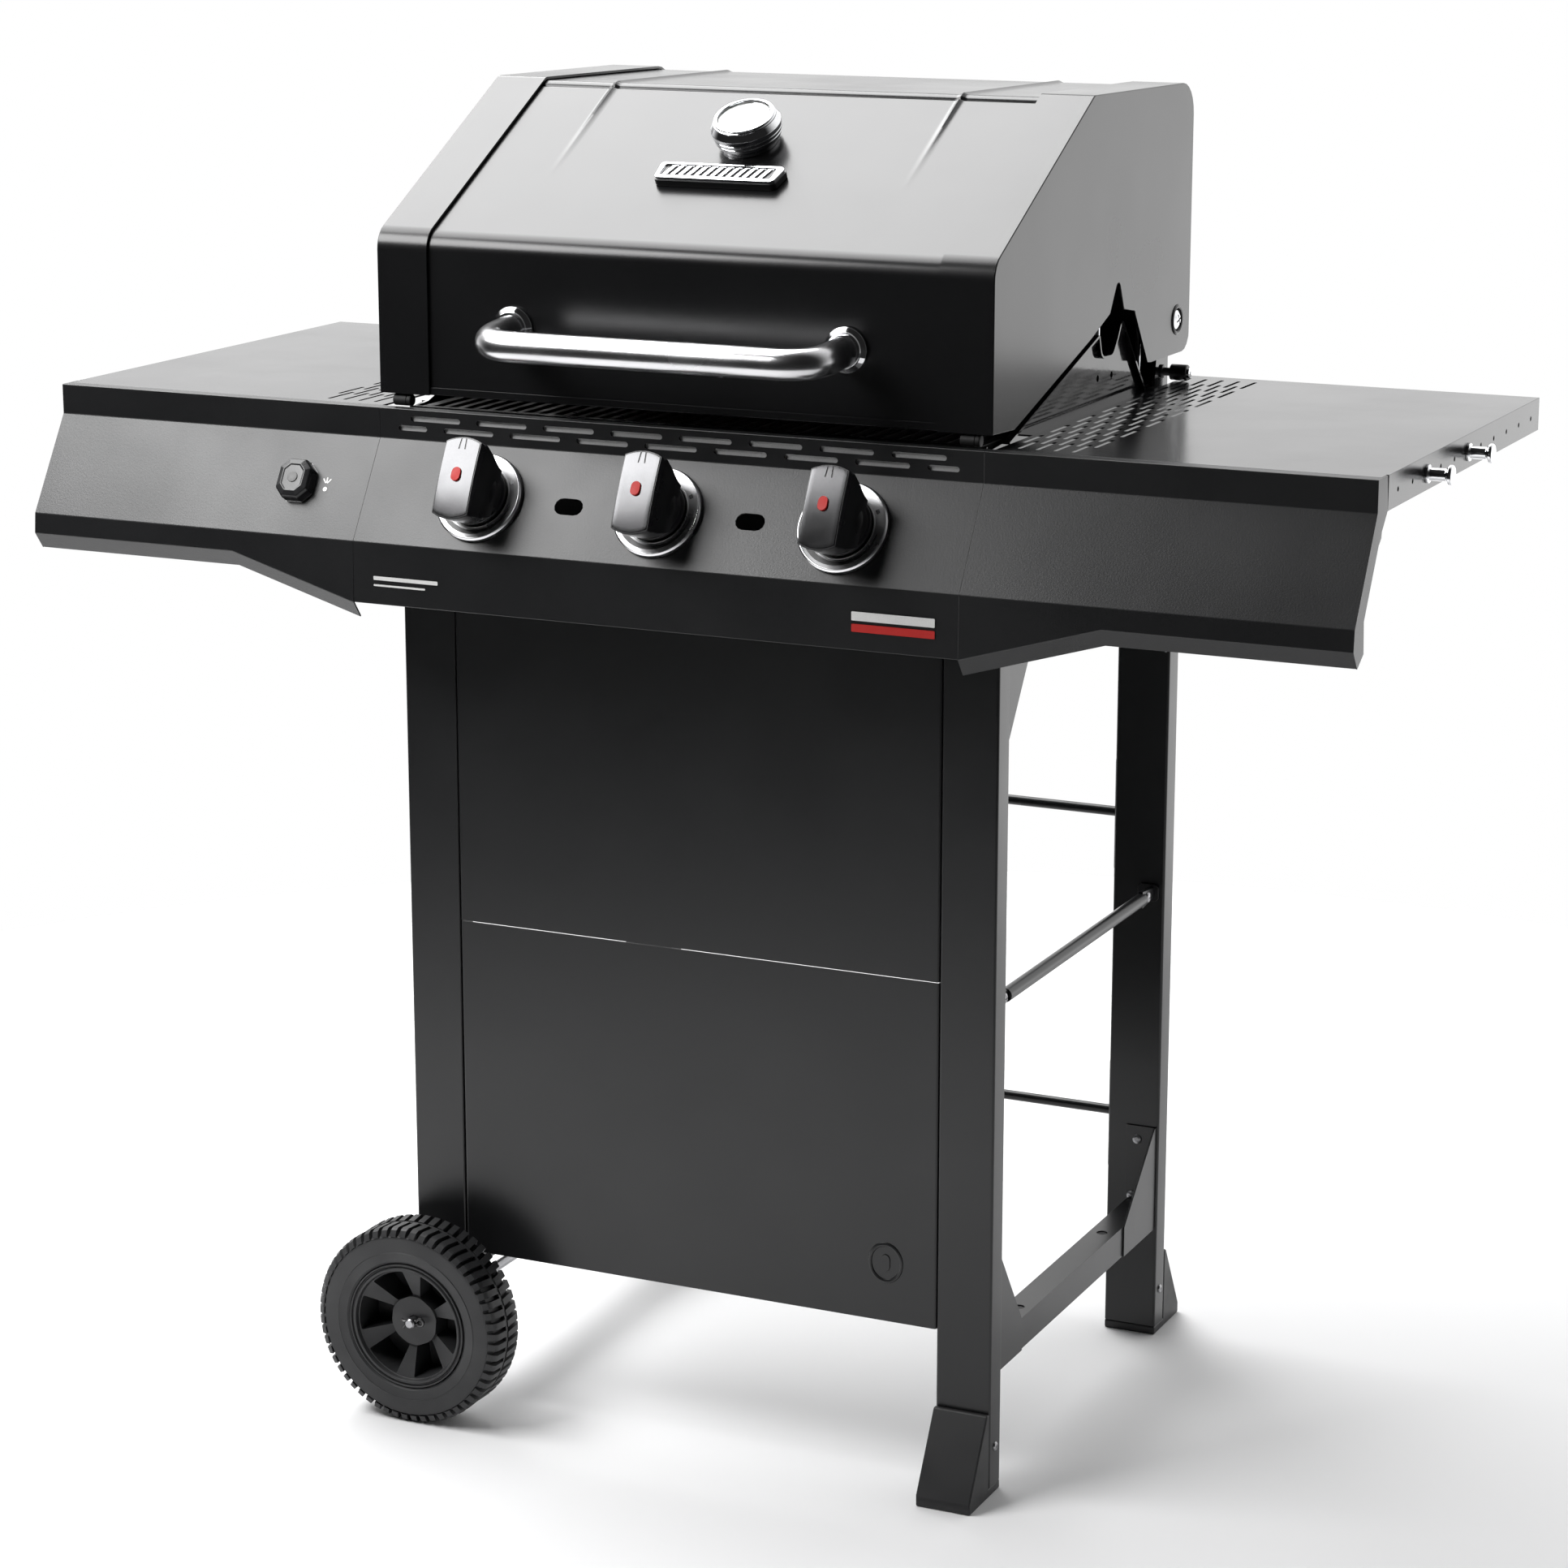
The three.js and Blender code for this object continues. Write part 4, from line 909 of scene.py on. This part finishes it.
def rearLip():
    # closes most of the gap between the rear wall and the lid
    width, height, thick = cooker["lip"]
    shown(block("firebox_rear_lip", clipped(width, height, 1), -thick, 0, "enamelBlack",
                place((0, cooker["lipY"], cooker["lipZ"]), turnX=quarter), 0.3), "root", "porcelain_black")


for index in (-1, 0, 1):
    burnerTube(index)
emitterPlate()
warmingRack()
rearLip()
lidStop(-1, "left")
lidStop(1, "right")
print("firebox ready")

# ---- control panel, fascias and shelves

face = {"crease": 865.7, "drop": 80, "run": 48.3, "fasciaEnd": 590}
faceTurn = math.atan2(face["drop"], face["run"])
vents = {"height": 4.5, "long": 47, "short": 27, "pitch": 62.3, "topZ": 883.3, "lowZ": 875, "middleZ": 878.6,
         "topStart": -242.6, "lowStart": -211.5, "topCount": 8, "lowCount": 7, "ends": (-240.7, 238),
         # the last two give the size and depth of the light grey sheet behind the slots, a painted reflection
         "slotLightSheet": (522, 19), "slotLightDepth": (-3.4, -2.4)}
shelf = {"top": 891, "slotX": (283, 345), "slotPitch": 7.5, "columns": 9, "slotLength": 41, "slotWidth": 3.3,
         "rows": 7, "rowPitch": 58.5, "firstRow": 74, "hookZ": 876.5, "holes": 11, "holeRadius": 2.1,
         "holePitch": 38.57, "firstHole": 51, "tab": [(12, 864), (31, 864), (27, 842), (22, 838), (12, 838)], "tabX": (584, 585.5)}
hook = {"rows": (128.3, 244), "base": 7.4, "post": 5.2, "head": 8.2, "length": 22}
cutDepth = 4


def onFace(x, up):
    # for millimetres drawn on the slanted face: x along it, y up it, z out of it
    return place((0, 0, face["crease"]), turnX=faceTurn) @ moved(x, up, 0)


def controlPanel():
    piece = sheetPart("control_panel", "_slotted", "wrinkleBlack", 1.6,
                      lambda middle, way, length: abs(way.x) > 0.99 and length > 100, 0.25)
    v = vents
    for row in ("top", "low"):
        slot = prism("slot", obround(v["long"], v["height"]), -cutDepth, cutDepth, "wrinkleBlack", inMm)
        middle = v[row + "Start"] + v["long"] / 2 + v["pitch"] * (v[row + "Count"] - 1) / 2
        matrix = Matrix.Translation(at(middle, 0, v[row + "Z"])) @ turned(quarter, "X")
        pierced(piece, gridOf("slots", slot, v[row + "Count"], 1, v["pitch"], 1, "wrinkleBlack", matrix), 40)
    for x in v["ends"]:
        pierced(piece, prism("slot", obround(v["short"], v["height"]), -cutDepth, cutDepth, "wrinkleBlack",
                             place((x, 0, v["lowZ"]), turnX=quarter)), 40)
    shown(piece, "root", "wrinkle_black", "control_panel")
    # painted light: a light grey sheet close behind the vent slots, lit through them, stands in for the reflections
    # seen through the slots
    shown(block("vent_baffle", clipped(*v["slotLightSheet"], 1), *v["slotLightDepth"], "baffleSteel",
                place((0, 0, v["middleZ"]), turnX=quarter), 0.3), "root", "bare_steel")


def fascias():
    for node in ("fascia_left", "fascia_right"):
        shown(sheetPart(node, "_folded", "wrinkleBlack", 1.6,
                        lambda middle, way, length: abs(way.x) > 0.93 and length > 60, 0.25),
              "root", "wrinkle_black", node)


def shelves():
    s = shelf
    for side, word in ((-1, "left"), (1, "right")):
        node = "side_shelf_" + word
        piece = sheetPart(node, "_pierced", "shelfBlack", 2.2,
                          lambda middle, way, length: length > 100 and middle.z > s["top"] - 3, 0.3)
        slot = prism("slot", [(v, u) for u, v in obround(s["slotLength"], s["slotWidth"])][::-1], -cutDepth, cutDepth,
                     "shelfBlack", inMm)
        middle = at(side * sum(s["slotX"]) / 2, s["firstRow"] + s["rowPitch"] * (s["rows"] - 1) / 2, s["top"])
        pierced(piece, gridOf("slots", slot, s["columns"], s["rows"], s["slotPitch"], s["rowPitch"], "shelfBlack",
                              Matrix.Translation(middle), -s["rowPitch"] / 2), 40)
        if side > 0:
            hole = prism("hole", disc(s["holeRadius"], 16), -cutDepth, cutDepth, "shelfBlack", inMm)
            middle = at(face["fasciaEnd"], s["firstHole"] + s["holePitch"] * (s["holes"] - 1) / 2, s["hookZ"])
            pierced(piece, gridOf("holes", hole, 1, s["holes"], 1, s["holePitch"], "shelfBlack",
                                  Matrix.Translation(middle) @ turned(quarter, "Y")), 40)
        shown(piece, "root", "satin_black", node)
    # the right fascia is screwed to a folded tab under the front corner of the shelf
    shown(block("shelf_tab", s["tab"], *s["tabX"], "satinBlack", sideways, 0.3), "root", "satin_black")


def toolHooks():
    length, head, post, base = hook["length"], hook["head"], hook["post"], hook["base"]
    profile = roundedLine([(0, 0), (base, 0), (base, 2, 0.8), (post, 2.6, 1), (post, length - 6, 2),
                           (head, length - 4.2, 0.8), (head, length - 1.4, 1.6), (0, length)], 5)
    for node, y in zip(("tool_hook_1", "tool_hook_2"), hook["rows"]):
        matrix = place((face["fasciaEnd"] + 0.3, y, shelf["hookZ"]), turnY=quarter)
        shown(lathe(node + "_turned", profile, "chrome", matrix, 40), "root", "chrome", node)


controlPanel()
fascias()
shelves()
toolHooks()
print("panel and shelves ready")

# ---- knobs, their rings and the igniter

knob = {"spacing": 163.5, "down": 47, "skirt": 25.8, "skirtLow": 6, "skirtHigh": 20, "grip": 34, "gripLength": 66,
        "height": 49, "crown": 6, "outer": 38.5, "inner": 26.6, "rise": 6, "ringMarks": 31.4, "grooves": (-2.4, 2.4),
        "squareTurn": -62, "arc": (-8, -172)}
igniter = {"x": -338.5, "down": 45.5, "width": 31, "height": 35, "proud": 12, "inside": 7, "corner": 8,
           "iconX": -311.7, "rays": (-38, 0, 38)}
labels = ((-222, 756.5, 61, 3.2, "inkWhite"), (-228, 750.5, 49, 1.6, "inkWhite"),
          (217, 761.8, 71, 7.2, "inkWhite"), (217, 752.4, 71, 6.4, "inkRed"))


def gripOutline(width, low, high, bulge, steps=8):
    # straight sides with bulging ends
    points = []
    for end, edge in ((-1, low), (1, high)):
        for step in range(steps + 1):
            share = step / steps * 2 - 1
            points.append((-end * share * width / 2, edge + end * bulge * (1 - share * share)))
    return points


def gridFaces(build, rows):
    for near, far in zip(rows, rows[1:]):
        for column in range(len(near) - 1):
            build.faces.new((near[column], near[column + 1], far[column + 1], far[column]))


def crownedPlate(name, width, low, high, bulge, top, thick, look, matrix):
    # plate with straight sides and bulging ends, falling away from its upper end to its lower one
    build = bmesh.new()
    rows, columns, length = 20, 8, knob["gripLength"]
    grid = []
    for row in range(rows + 1):
        line = []
        for column in range(columns + 1):
            share = column / columns * 2 - 1
            reach = bulge * (1 - share * share)
            y = low - reach + (high - low + 2 * reach) * row / rows
            fall = max(0, (length / 2 - y) / length)
            line.append(build.verts.new((share * width / 2, y, top - knob["crown"] * fall ** 2)))
        grid.append(line)
    gridFaces(build, grid)
    build.transform(matrix)
    piece = fromBmesh(name, build, look, 40)
    return softened(modified(piece, "SOLIDIFY", 40, thickness=thick * mm, offset=-1), 0.35)


def knobPiece(index):
    k, black = knob, "mouldedBlack"
    matrix = onFace(index * k["spacing"], -k["down"])
    skirtLow, skirtHigh, wide, top = k["skirtLow"], k["skirtHigh"], k["skirt"], k["height"]
    skirt = lathe("skirt", roundedLine([
        (4.4, skirtLow), (wide, skirtLow, 0.6), (wide, skirtLow + 3.2, 0.8), (wide - 2.2, skirtLow + 4, 0.6),
        (wide - 3.2, skirtHigh - 3, 5), (18, skirtHigh + 1, 8), (0, skirtHigh + 1.5)], 5), black, matrix, 64)
    w, high, low = k["grip"], k["gripLength"] / 2, -k["gripLength"] / 2
    levels = [(14, 9, -20, 20, 7), (17, 5.4, -22, 22, 6.4), (21, 2.6, low + 9, high - 8, 5.8),
              (27, 0.8, low + 6.4, high - 4.4, 5.2), (38, -0.6, low + 3.4, high - 1, 4.4),
              (top - 7.4, -1.3, low + 2.2, high - 2.6, 4.1)]
    sections = [[(x, y, z) for x, y in gripOutline(w + grow, *ends)] for z, grow, *ends in levels]
    bar = softened(lofted("bar", sections, black, matrix), 0.5)
    crest = crownedPlate("crest", w - 1.2, low + 2.2, high - 2.6, 4.1, top - 0.5, 9, black, matrix)
    plate = crownedPlate("plate", w - 3, low + 3.2, high - 3.6, 3.9, top, 1.2, "knobSilver", matrix)
    for groove in k["grooves"]:
        pierced(plate, prism("groove", clipped(1.3, 13, 0.4), top - 0.8, top + 2, black,
                             matrix @ moved(groove, high - 3, 0) @ turned(groove * 0.03)))
    mark = block("mark", obround(12, 8, 8), top - 1.6, top + 0.3, "inkRed",
                 matrix @ moved(0, 2, 0) @ turned(quarter), 0.2)
    collar = lathe("collar", roundedLine([(3.9, skirtLow - 1.4), (9, skirtLow - 1.4, 0.5), (9, skirtLow + 1),
                                          (4.3, skirtLow + 1)], 3), black, matrix, 32)
    node = "knob_%d" % (index + 2)
    shown(joined(node + "_gripped", skirt, bar, crest, plate, mark, collar), node, "black_plastic", node)
    knobRing(index, matrix)


def knobRing(index, matrix):
    # bright dished ring with printed marks: a small circle, a square, and an arc that tapers round
    outer, inner, rise, middle = (knob[size] for size in ("outer", "inner", "rise", "ringMarks"))
    profile = roundedLine([
        (inner, 0.3), (outer, 0.3), (outer, rise - 2, 1), (outer - 1.6, rise, 1), (outer - 2.6, rise - 0.5, 0.5),
        (inner + 1.4, rise - 1.6, 0.5), (inner + 0.6, rise - 0.9, 0.5), (inner, rise - 1.6, 0.4)], 3)
    ring = lathe("ring", profile + [profile[0]], "bezelSilver", matrix, 96)
    top = rise - 1.12
    nought = lathe("nought", [(1.5, top), (2.1, top), (2.1, top + 0.25), (1.5, top + 0.25), (1.5, top)], "inkBlack",
                   matrix @ moved(1.5, middle, 0), 24)
    square = prism("square", clipped(3.6, 3.4, 0.5), top, top + 0.2, "plainSteel",
                   matrix @ turned(math.radians(knob["squareTurn"])) @ moved(0, middle, 0))
    band = arcBand(middle, *knob["arc"], 40, lambda share: 0.35 + 1.75 * min(1, share * 1.6))
    arc = prism("arc", band, top - 0.2, top + 0.32, "inkBlack", matrix)
    node = "knob_bezel_%d" % (index + 2)
    shown(joined(node + "_marked", ring, nought, square, arc), "root", "chrome", node)


def ignitionButton():
    g = igniter
    matrix = onFace(g["x"], -g["down"])
    w, h, c, proud = g["width"], g["height"], g["corner"], g["proud"]
    levels = [(-g["inside"], 0), (proud - 4.2, 0), (proud - 1.6, 1.2), (proud - 0.4, 4.6), (proud, 5.6),
              (proud - 0.6, 6.6)]
    sections = [[(x, y, z) for x, y in clipped(w - 2 * inset, h - 2 * inset, max(c - inset * 0.5, 2))]
                for z, inset in levels]
    cap = softened(lofted("cap", sections, "mouldedBlack", matrix), 0.8, segments=3, angle=12, smooth=40)
    dot = block("dot", disc(4.6), proud - 0.8, proud + 0.1, "inkBlack", matrix, 0.2)
    shown(joined("ignition_button_moulded", cap, dot), "ignition", "black_plastic", "ignition_button")
    # beside it, three short rays over a dot
    matrix = onFace(g["iconX"], -g["down"])
    marks = [prism("dot", disc(2.0, 20), -0.05, 0.2, "inkWhite", matrix @ moved(0, -4.5, 0))]
    marks += [prism("ray", clipped(1.1, 5, 0.3), -0.05, 0.2, "inkWhite",
                    matrix @ turned(math.radians(turn)) @ moved(0, 3.6, 0)) for turn in g["rays"]]
    shown(joined("ignition_mark", *marks), "root", "wrinkle_black")


def faceLabels():
    # plain printed bars low on the control panel, where rating plates go
    bars = [prism("bar", clipped(width, tall, 0.5), 0.0, 0.2, ink, place((x, -face["run"] - 1.2, z), turnX=quarter))
            for x, z, width, tall, ink in labels]
    shown(joined("panel_labels", *bars), "root", "wrinkle_black")


for index in (-1, 0, 1):
    knobPiece(index)
ignitionButton()
faceLabels()
print("controls ready")

# ---- lid

lid = {"half": 276, "band": 47, "step": 3, "skin": 1.5, "tuck": 8, "front": 7.8, "bottom": 902.4, "bend": 1034.3,
       "slopeEnd": (219.7, 1150.5), "rear": 461.5, "top": 1146.2, "exhaust": 960, "bendRadius": 22,
       "creaseRadius": 10, "rearRadius": 28, "ribX": 160, "ribStart": 92, "ribEnd": 230, "ribHeight": 1.7,
       "ribWidth": 4.6, "grooveAt": 233.5, "grooveDepth": 1.9, "grooveWidth": 1.9, "hem": 6, "slopeStep": 0.95}
lidSlope = math.atan2(lid["slopeEnd"][1] - lid["bend"], lid["slopeEnd"][0] - lid["front"])
handle = {"half": 149.5, "radius": 12.7, "bar": -50, "z": 956, "base": 962, "flange": 18.5, "bend": 34}
gauge = {"up": 159, "radius": 30, "neck": 24, "height": 27, "deep": 8, "lip": 26.6, "glass": 23, "dial": 22.8,
         "needle": 16, "rest": 225, "ticks": 31, "sweep": 270,
         "arcs": ((10.8, 20, 150, "inkBlack"), (13.4, -38, 84, "inkRed"))}
hinge = {"y": 429, "z": 944, "head": 8.5, "bush": 13.1, "shaft": 3.9, "cross": (9.5, 1.7, 0.3), "crossLean": 0.35}
badge = {"x": -4, "up": 105.5, "width": 117, "height": 30, "rise": 9, "bars": 13, "barPitch": 7.2}
bumper = {"x": 256, "y": 13, "z": 896.6, "half": 8.4, "radius": 4.9}


def onLid(x, up):
    # for millimetres drawn on the sloping lid skin: x along it, y up it, z out of it
    return place((0, lid["front"], lid["bend"]), turnX=lidSlope) @ moved(x, up, -lid["step"])


def smoothStep(value):
    value = min(max(value, 0), 1)
    return value * value * (3 - 2 * value)


def lidProfile():
    # the skin's outer line in (y, z), from its front hem to the exhaust gap, finely stepped
    corners = [(lid["front"], lid["bottom"]), (lid["front"], lid["bend"], lid["bendRadius"]),
               (*lid["slopeEnd"], lid["creaseRadius"]), (lid["rear"], lid["top"], lid["rearRadius"]),
               (lid["rear"], lid["exhaust"])]
    line = besideLine(roundedLine(corners, 12), lid["step"])
    fine = [line[0]]
    for start, end in zip(line, line[1:]):
        start, end = Vector(start), Vector(end)
        pieces = max(1, round((end - start).length / 5))
        if 150 < (end - start).length < 260 and end.y > start.y + 50 and end.x > start.x + 50:
            pieces = round((end - start).length / lid["slopeStep"])
        fine += [tuple(start.lerp(end, step / pieces)) for step in range(1, pieces + 1)]
    return fine


def lidSkin():
    # pressed skin: two ribs that grow up the slope, and a groove across its top
    line = lidProfile()
    half = lid["half"] - lid["band"] + lid["tuck"]
    columns = [-half, half] + [side * (lid["ribX"] + offset) for side in (-1, 1) for offset in range(-9, 10)]
    columns += [step * 20 for step in range(-7, 8)] + [side * x for side in (-1, 1) for x in (180, 200, 220)]
    columns = sorted(set(columns))
    upSlope, corner = Vector(spoke(1, lidSlope)), Vector((lid["front"], lid["bend"]))
    build = bmesh.new()
    rows = []
    for index, (y, z) in enumerate(line):
        before, after = Vector(line[max(index - 1, 0)]), Vector(line[min(index + 1, len(line) - 1)])
        way = (after - before).normalized()
        up = (Vector((y, z)) - corner).dot(upSlope) if z > lid["bend"] - 5 else 0
        rib = smoothStep((up - lid["ribStart"]) / (lid["ribEnd"] - lid["ribStart"])) * lid["ribHeight"]
        if z < lid["top"] - 40 and y > lid["rear"] - 30:
            rib = 0
        groove = max(0, 1 - abs(up - lid["grooveAt"]) / lid["grooveWidth"]) * lid["grooveDepth"] if y < 225 else 0
        row = []
        for x in columns:
            near = max(0, 1 - abs(abs(x) - lid["ribX"]) / lid["ribWidth"])
            lift = rib * near ** 1.3 - groove
            row.append(build.verts.new((x, y - way.y * lift, z + way.x * lift)))
        rows.append(row)
    gridFaces(build, rows)
    bmesh.ops.recalc_face_normals(build, faces=build.faces)
    build.faces.ensure_lookup_table()
    if build.faces[0].normal.y > 0:
        bmesh.ops.reverse_faces(build, faces=build.faces)
    build.transform(place())
    piece = modified(fromBmesh("lid_skin_pressed", build, "lidBlack", 40), "SOLIDIFY", 40, thickness=lid["skin"] * mm,
                     offset=-1, use_even_offset=True)
    hem = block("hem", clipped(2 * half - 2, lid["hem"], 0.5), -0.6, 1.2, "lidBlack",
                place((0, lid["front"] + lid["step"], lid["bottom"] + lid["hem"] / 2 + 0.5), turnX=quarter), 0.5)
    shown(joined(piece.name + "_hemmed", piece, hem), "lid", "satin_black", "lid_skin")


def onLidRim(middle, way, length):
    nearHinge = (middle.y - hinge["y"]) ** 2 + (middle.z - hinge["z"]) ** 2 < 16 ** 2
    return (abs(abs(middle.x) - lid["half"]) < 0.2 and abs(way.x) < 0.1 and not nearHinge
            and (middle.z > lid["exhaust"] or middle.y < 100))


def lidEnd(side, word):
    # the black bush turns with the lid; the pin and its cross-headed screw stay on the firebox
    node = "lid_end_" + word
    shown(sheetPart(node, "_drawn", "lidBlack", 2.6, onLidRim, 0.4), "lid", "wrinkle_black", node)
    matrix = place((side * (lid["half"] - 3), hinge["y"], hinge["z"]), turnY=quarter * side)
    bush, screwRadius = hinge["bush"], hinge["head"]
    bore = screwRadius + 0.8
    profile = roundedLine([(bore, -3), (bush, -3), (bush, 3.6, 0.6), (bush - 1.6, 4.6, 0.8), (bore + 0.8, 4.0, 0.6),
                           (bore, 2, 0.3)], 3)
    shown(lathe("hinge_bush_" + word, profile + [(bore, -3)], "mouldedBlack", matrix, 64), "lid", "black_plastic")
    shaft = lathe("shaft", [(0, -12.5), (hinge["shaft"], -12.5), (hinge["shaft"], 2), (0, 2)], "chrome", matrix, 24)
    profile = roundedLine([(0, 1.2), (screwRadius, 1.2, 0.4), (screwRadius, 3.0, 0.8), (4, 5.2, 4), (0, 5.45)], 4)
    head = crossCut(lathe("head", profile, "chrome", matrix, 48), hinge["cross"], 3.0, 8,
                    lambda turn: matrix @ turned(turn), hinge["crossLean"])
    node = "hinge_pin_" + word
    shown(joined(node + "_screwed", shaft, head), "root", "chrome", node)


def lidHandle():
    h = handle
    skin, radius, flange = lid["front"] + lid["step"] - 0.3, h["radius"], h["flange"]
    ends, flanges = [], []
    for side in (-1, 1):
        corner, root = Vector((side * h["half"], h["bar"], h["z"])), Vector((side * h["half"], skin - 1, h["base"]))
        onLeg = corner.lerp(root, h["bend"] / (skin - h["bar"]))
        onBar = Vector((side * (h["half"] - h["bend"]), h["bar"], h["z"]))
        curve = [onLeg * (1 - t) ** 2 + corner * 2 * t * (1 - t) + onBar * t * t for t in (s / 14 for s in range(15))]
        ends.append([root, root.lerp(onLeg, 0.5)] + curve)
        profile = roundedLine([(0, 0), (flange, 0, 0.4), (flange, 2.6, 1.2), (radius + 2.4, 6, 2),
                               (radius + 1.6, 7.2, 0.6), (radius - 0.4, 7.2)], 4)
        flanges.append(lathe("flange", profile, "chrome",
                             place((side * h["half"], skin, h["base"]), turnX=quarter), 56))
    middle = [ends[0][-1].lerp(ends[1][-1], step / 6) for step in range(1, 6)]
    bar = tube("bar", ends[0] + middle + ends[1][::-1], radius, "brushedSteel", 48)
    shown(joined("lid_handle_bent", bar, *flanges), "lid", "brushed_steel", "lid_handle")


def dialTicks(name, count, start, sweep, inner, half, thick, matrix):
    outline = [(inner, -half), (20.4, -half), (20.4, half), (inner, half)]
    return repeated(name, prism("tick", outline, 0, thick, "inkBlack", inMm), "ring", {
        "Count": count, "First Turn": math.radians(start), "Sweep": math.radians(sweep)}, "inkBlack", matrix @ toMm)


def lidGauge():
    g, matrix = gauge, onLid(0, gauge["up"])
    neck, wide, lip, glassEdge, top = g["neck"], g["radius"], g["lip"], g["glass"], g["height"]
    floor = top - g["deep"]
    profile = roundedLine([
        (0, 0.3), (neck, 0.3), (neck, 3.4, 0.6), (neck + 2.6, 5, 0.8), (wide - 2.4, 6.2, 0.6), (wide - 1.4, 9.6, 0.3),
        (wide - 1.9, 10.1), (wide - 1.2, 10.7, 0.3), (wide - 0.7, 13.4, 0.3), (wide - 1.2, 13.9),
        (wide - 0.5, 14.5, 0.3), (wide, 18.4, 1.6), (lip, 23.4, 0.6), (lip, 24.4, 0.3), (lip - 1, 24.8, 0.3),
        (lip - 1, top - 0.6, 0.6), (glassEdge - 0.4, top, 0.6), (glassEdge - 0.8, top - 1.6, 0.3),
        (glassEdge, top - 2.4), (glassEdge, floor), (0, floor)], 3)
    case = lathe("case", profile, "chrome", matrix, 96)
    card = floor + 0.9
    profile = [(0, floor + 0.1), (g["dial"], floor + 0.1), (g["dial"], card), (0, card)]
    dial = lathe("dial", profile, "dialWhite", matrix, 64)
    onCard = matrix @ moved(0, 0, card)
    marks = [dialTicks("minorTicks", g["ticks"], -43, g["sweep"] + 9, 17.6, 0.22, 0.12, onCard),
             dialTicks("majorTicks", 7, -45, g["sweep"] * 7 / 6, 15.8, 0.4, 0.13, onCard)]
    marks += [prism("arc", arcBand(radius, start, sweep, 24, lambda share: 0.3), card, card + 0.12, ink, matrix)
              for radius, start, sweep, ink in g["arcs"]]
    shown(joined("gauge_case_stepped", case, dial, *marks), "lid", "chrome", "gauge_case")
    profile = roundedLine([(0, top - 2.9), (glassEdge - 0.5, top - 2.9), (glassEdge - 0.9, top - 1.9, 0.2),
                           (0, top - 1.5)], 3)
    shown(lathe("gauge_glass", profile, "gaugeGlass", matrix, 64), "lid", "chrome")
    tip = g["needle"]
    outline = [(-6, -1.3), (-3, -0.8), (tip - 3, -0.5), (tip, 0), (tip - 3, 0.5), (-3, 0.8), (-6, 1.3)]
    pointer = block("pointer", outline, floor + 2, floor + 2.7, "inkRed",
                    matrix @ turned(math.radians(g["rest"])), 0.15)
    profile = roundedLine([(0, floor + 1.2), (2.6, floor + 1.2), (2.6, floor + 3.4, 0.7), (0, floor + 3.6)], 4)
    cap = lathe("cap", profile, "inkRed", matrix, 28)
    shown(joined("gauge_needle_pointer", pointer, cap), "needle", "needle_red", "gauge_needle")


def lidBadge():
    # plain bright plate with a raised rim and a row of slanted bars
    b, matrix = badge, onLid(badge["x"], badge["up"])
    w, h, rise = b["width"] / 2, b["height"] / 2, b["rise"]
    base = roundedLine([(4 - w, -h, 4), (w - 4, -h, 5), (w, h - 8, 5), (w - 6, h - 6, 3), (2 - w, h - 6, 4)], 5)
    plate = block("plate", base, 0.3, rise - 3, "satinBlack", matrix, 0.8)
    rim = block("rim", base, rise - 3.4, rise, "chrome",
                matrix @ Matrix.Diagonal((0.985, 0.94, 1, 1)) @ moved(0, -0.4, 0), 0.9)
    well = roundedLine([(8 - w, 4 - h, 2), (w - 8, 4 - h, 2), (w - 8, h - 10, 2), (8 - w, h - 10, 2)], 4)
    pierced(rim, prism("well", well, rise - 1.6, rise + 2, "chrome", matrix))
    low = matrix @ moved(0, -3, 0)
    floor = block("floor", clipped(2 * w - 17, 2 * h - 15, 1), rise - 2.2, rise - 1.5, "mouldedBlack", low, 0.1)
    slant = [(-4.4, -6.4), (-0.8, -6.4), (3.4, 6.4), (-0.2, 6.4)]
    bar = block("bar", slant, rise - 1.6, rise - 0.2, "chrome", inMm, 0.3)
    bars = gridOf("bars", bar, b["bars"], 1, b["barPitch"], 1, "chrome", low @ toMm)
    shown(joined("lid_badge", plate, rim, floor, bars), "lid", "chrome")


def lidBumper(side, word):
    # rubber stop with a shallow ring round it
    half, radius = bumper["half"], bumper["radius"]
    profile = roundedLine([(0, -half), (radius, -half, 1), (radius, half - 4.6, 0.3), (radius - 0.5, half - 4.2),
                           (radius, half - 3.8, 0.3), (radius, half, 1), (0, half)], 3)
    shown(lathe("lid_bumper_" + word, profile, "rubberBlack",
                place((side * bumper["x"], bumper["y"], bumper["z"]), turnY=quarter), 32), "lid", "black_plastic")


sides = ((-1, "left"), (1, "right"))
lidSkin()
for side in sides:
    lidEnd(*side)
lidHandle()
lidGauge()
lidBadge()
for side in sides:
    lidBumper(*side)
print("lid ready")

# ---- visible fasteners

legFace, legBack = cart["rear"] - cart["legDepth"] - 1.9, cart["front"] + cart["legDepth"] + 1.9
gussetSpots = [(side * x, z) for side in (-1, 1) for x, z in ((253.7, 189), (249, 134))]
screwGroup("gusset_screws", 0.8, [((x, y, z), (0, way, 0)) for y, way in ((legFace, -1), (legBack, 1))
                                  for x, z in gussetSpots])
screwGroup("tank_bar_screws", 0.9, [((cart["barX"] + 2.6, y, cart["barZ"]), (1, 0, 0)) for y in (76, 420)])
screwGroup("foot_screws", 0.7, [((cart["legOuter"] + 0.2, y, 42), (1, 0, 0))
                                for y in (cart["front"] + 12, cart["rear"] - 12)])
screwGroup("brace_screws", 0.8, [
    ((side * (cart["legInner"] - 2.2), cart["rear"] - cart["braceBack"], height + rise), (-side, 0, 0))
    for side in (-1, 1) for height in cart["braceHeights"] for rise in (-38, 38)])
print("fasteners ready")
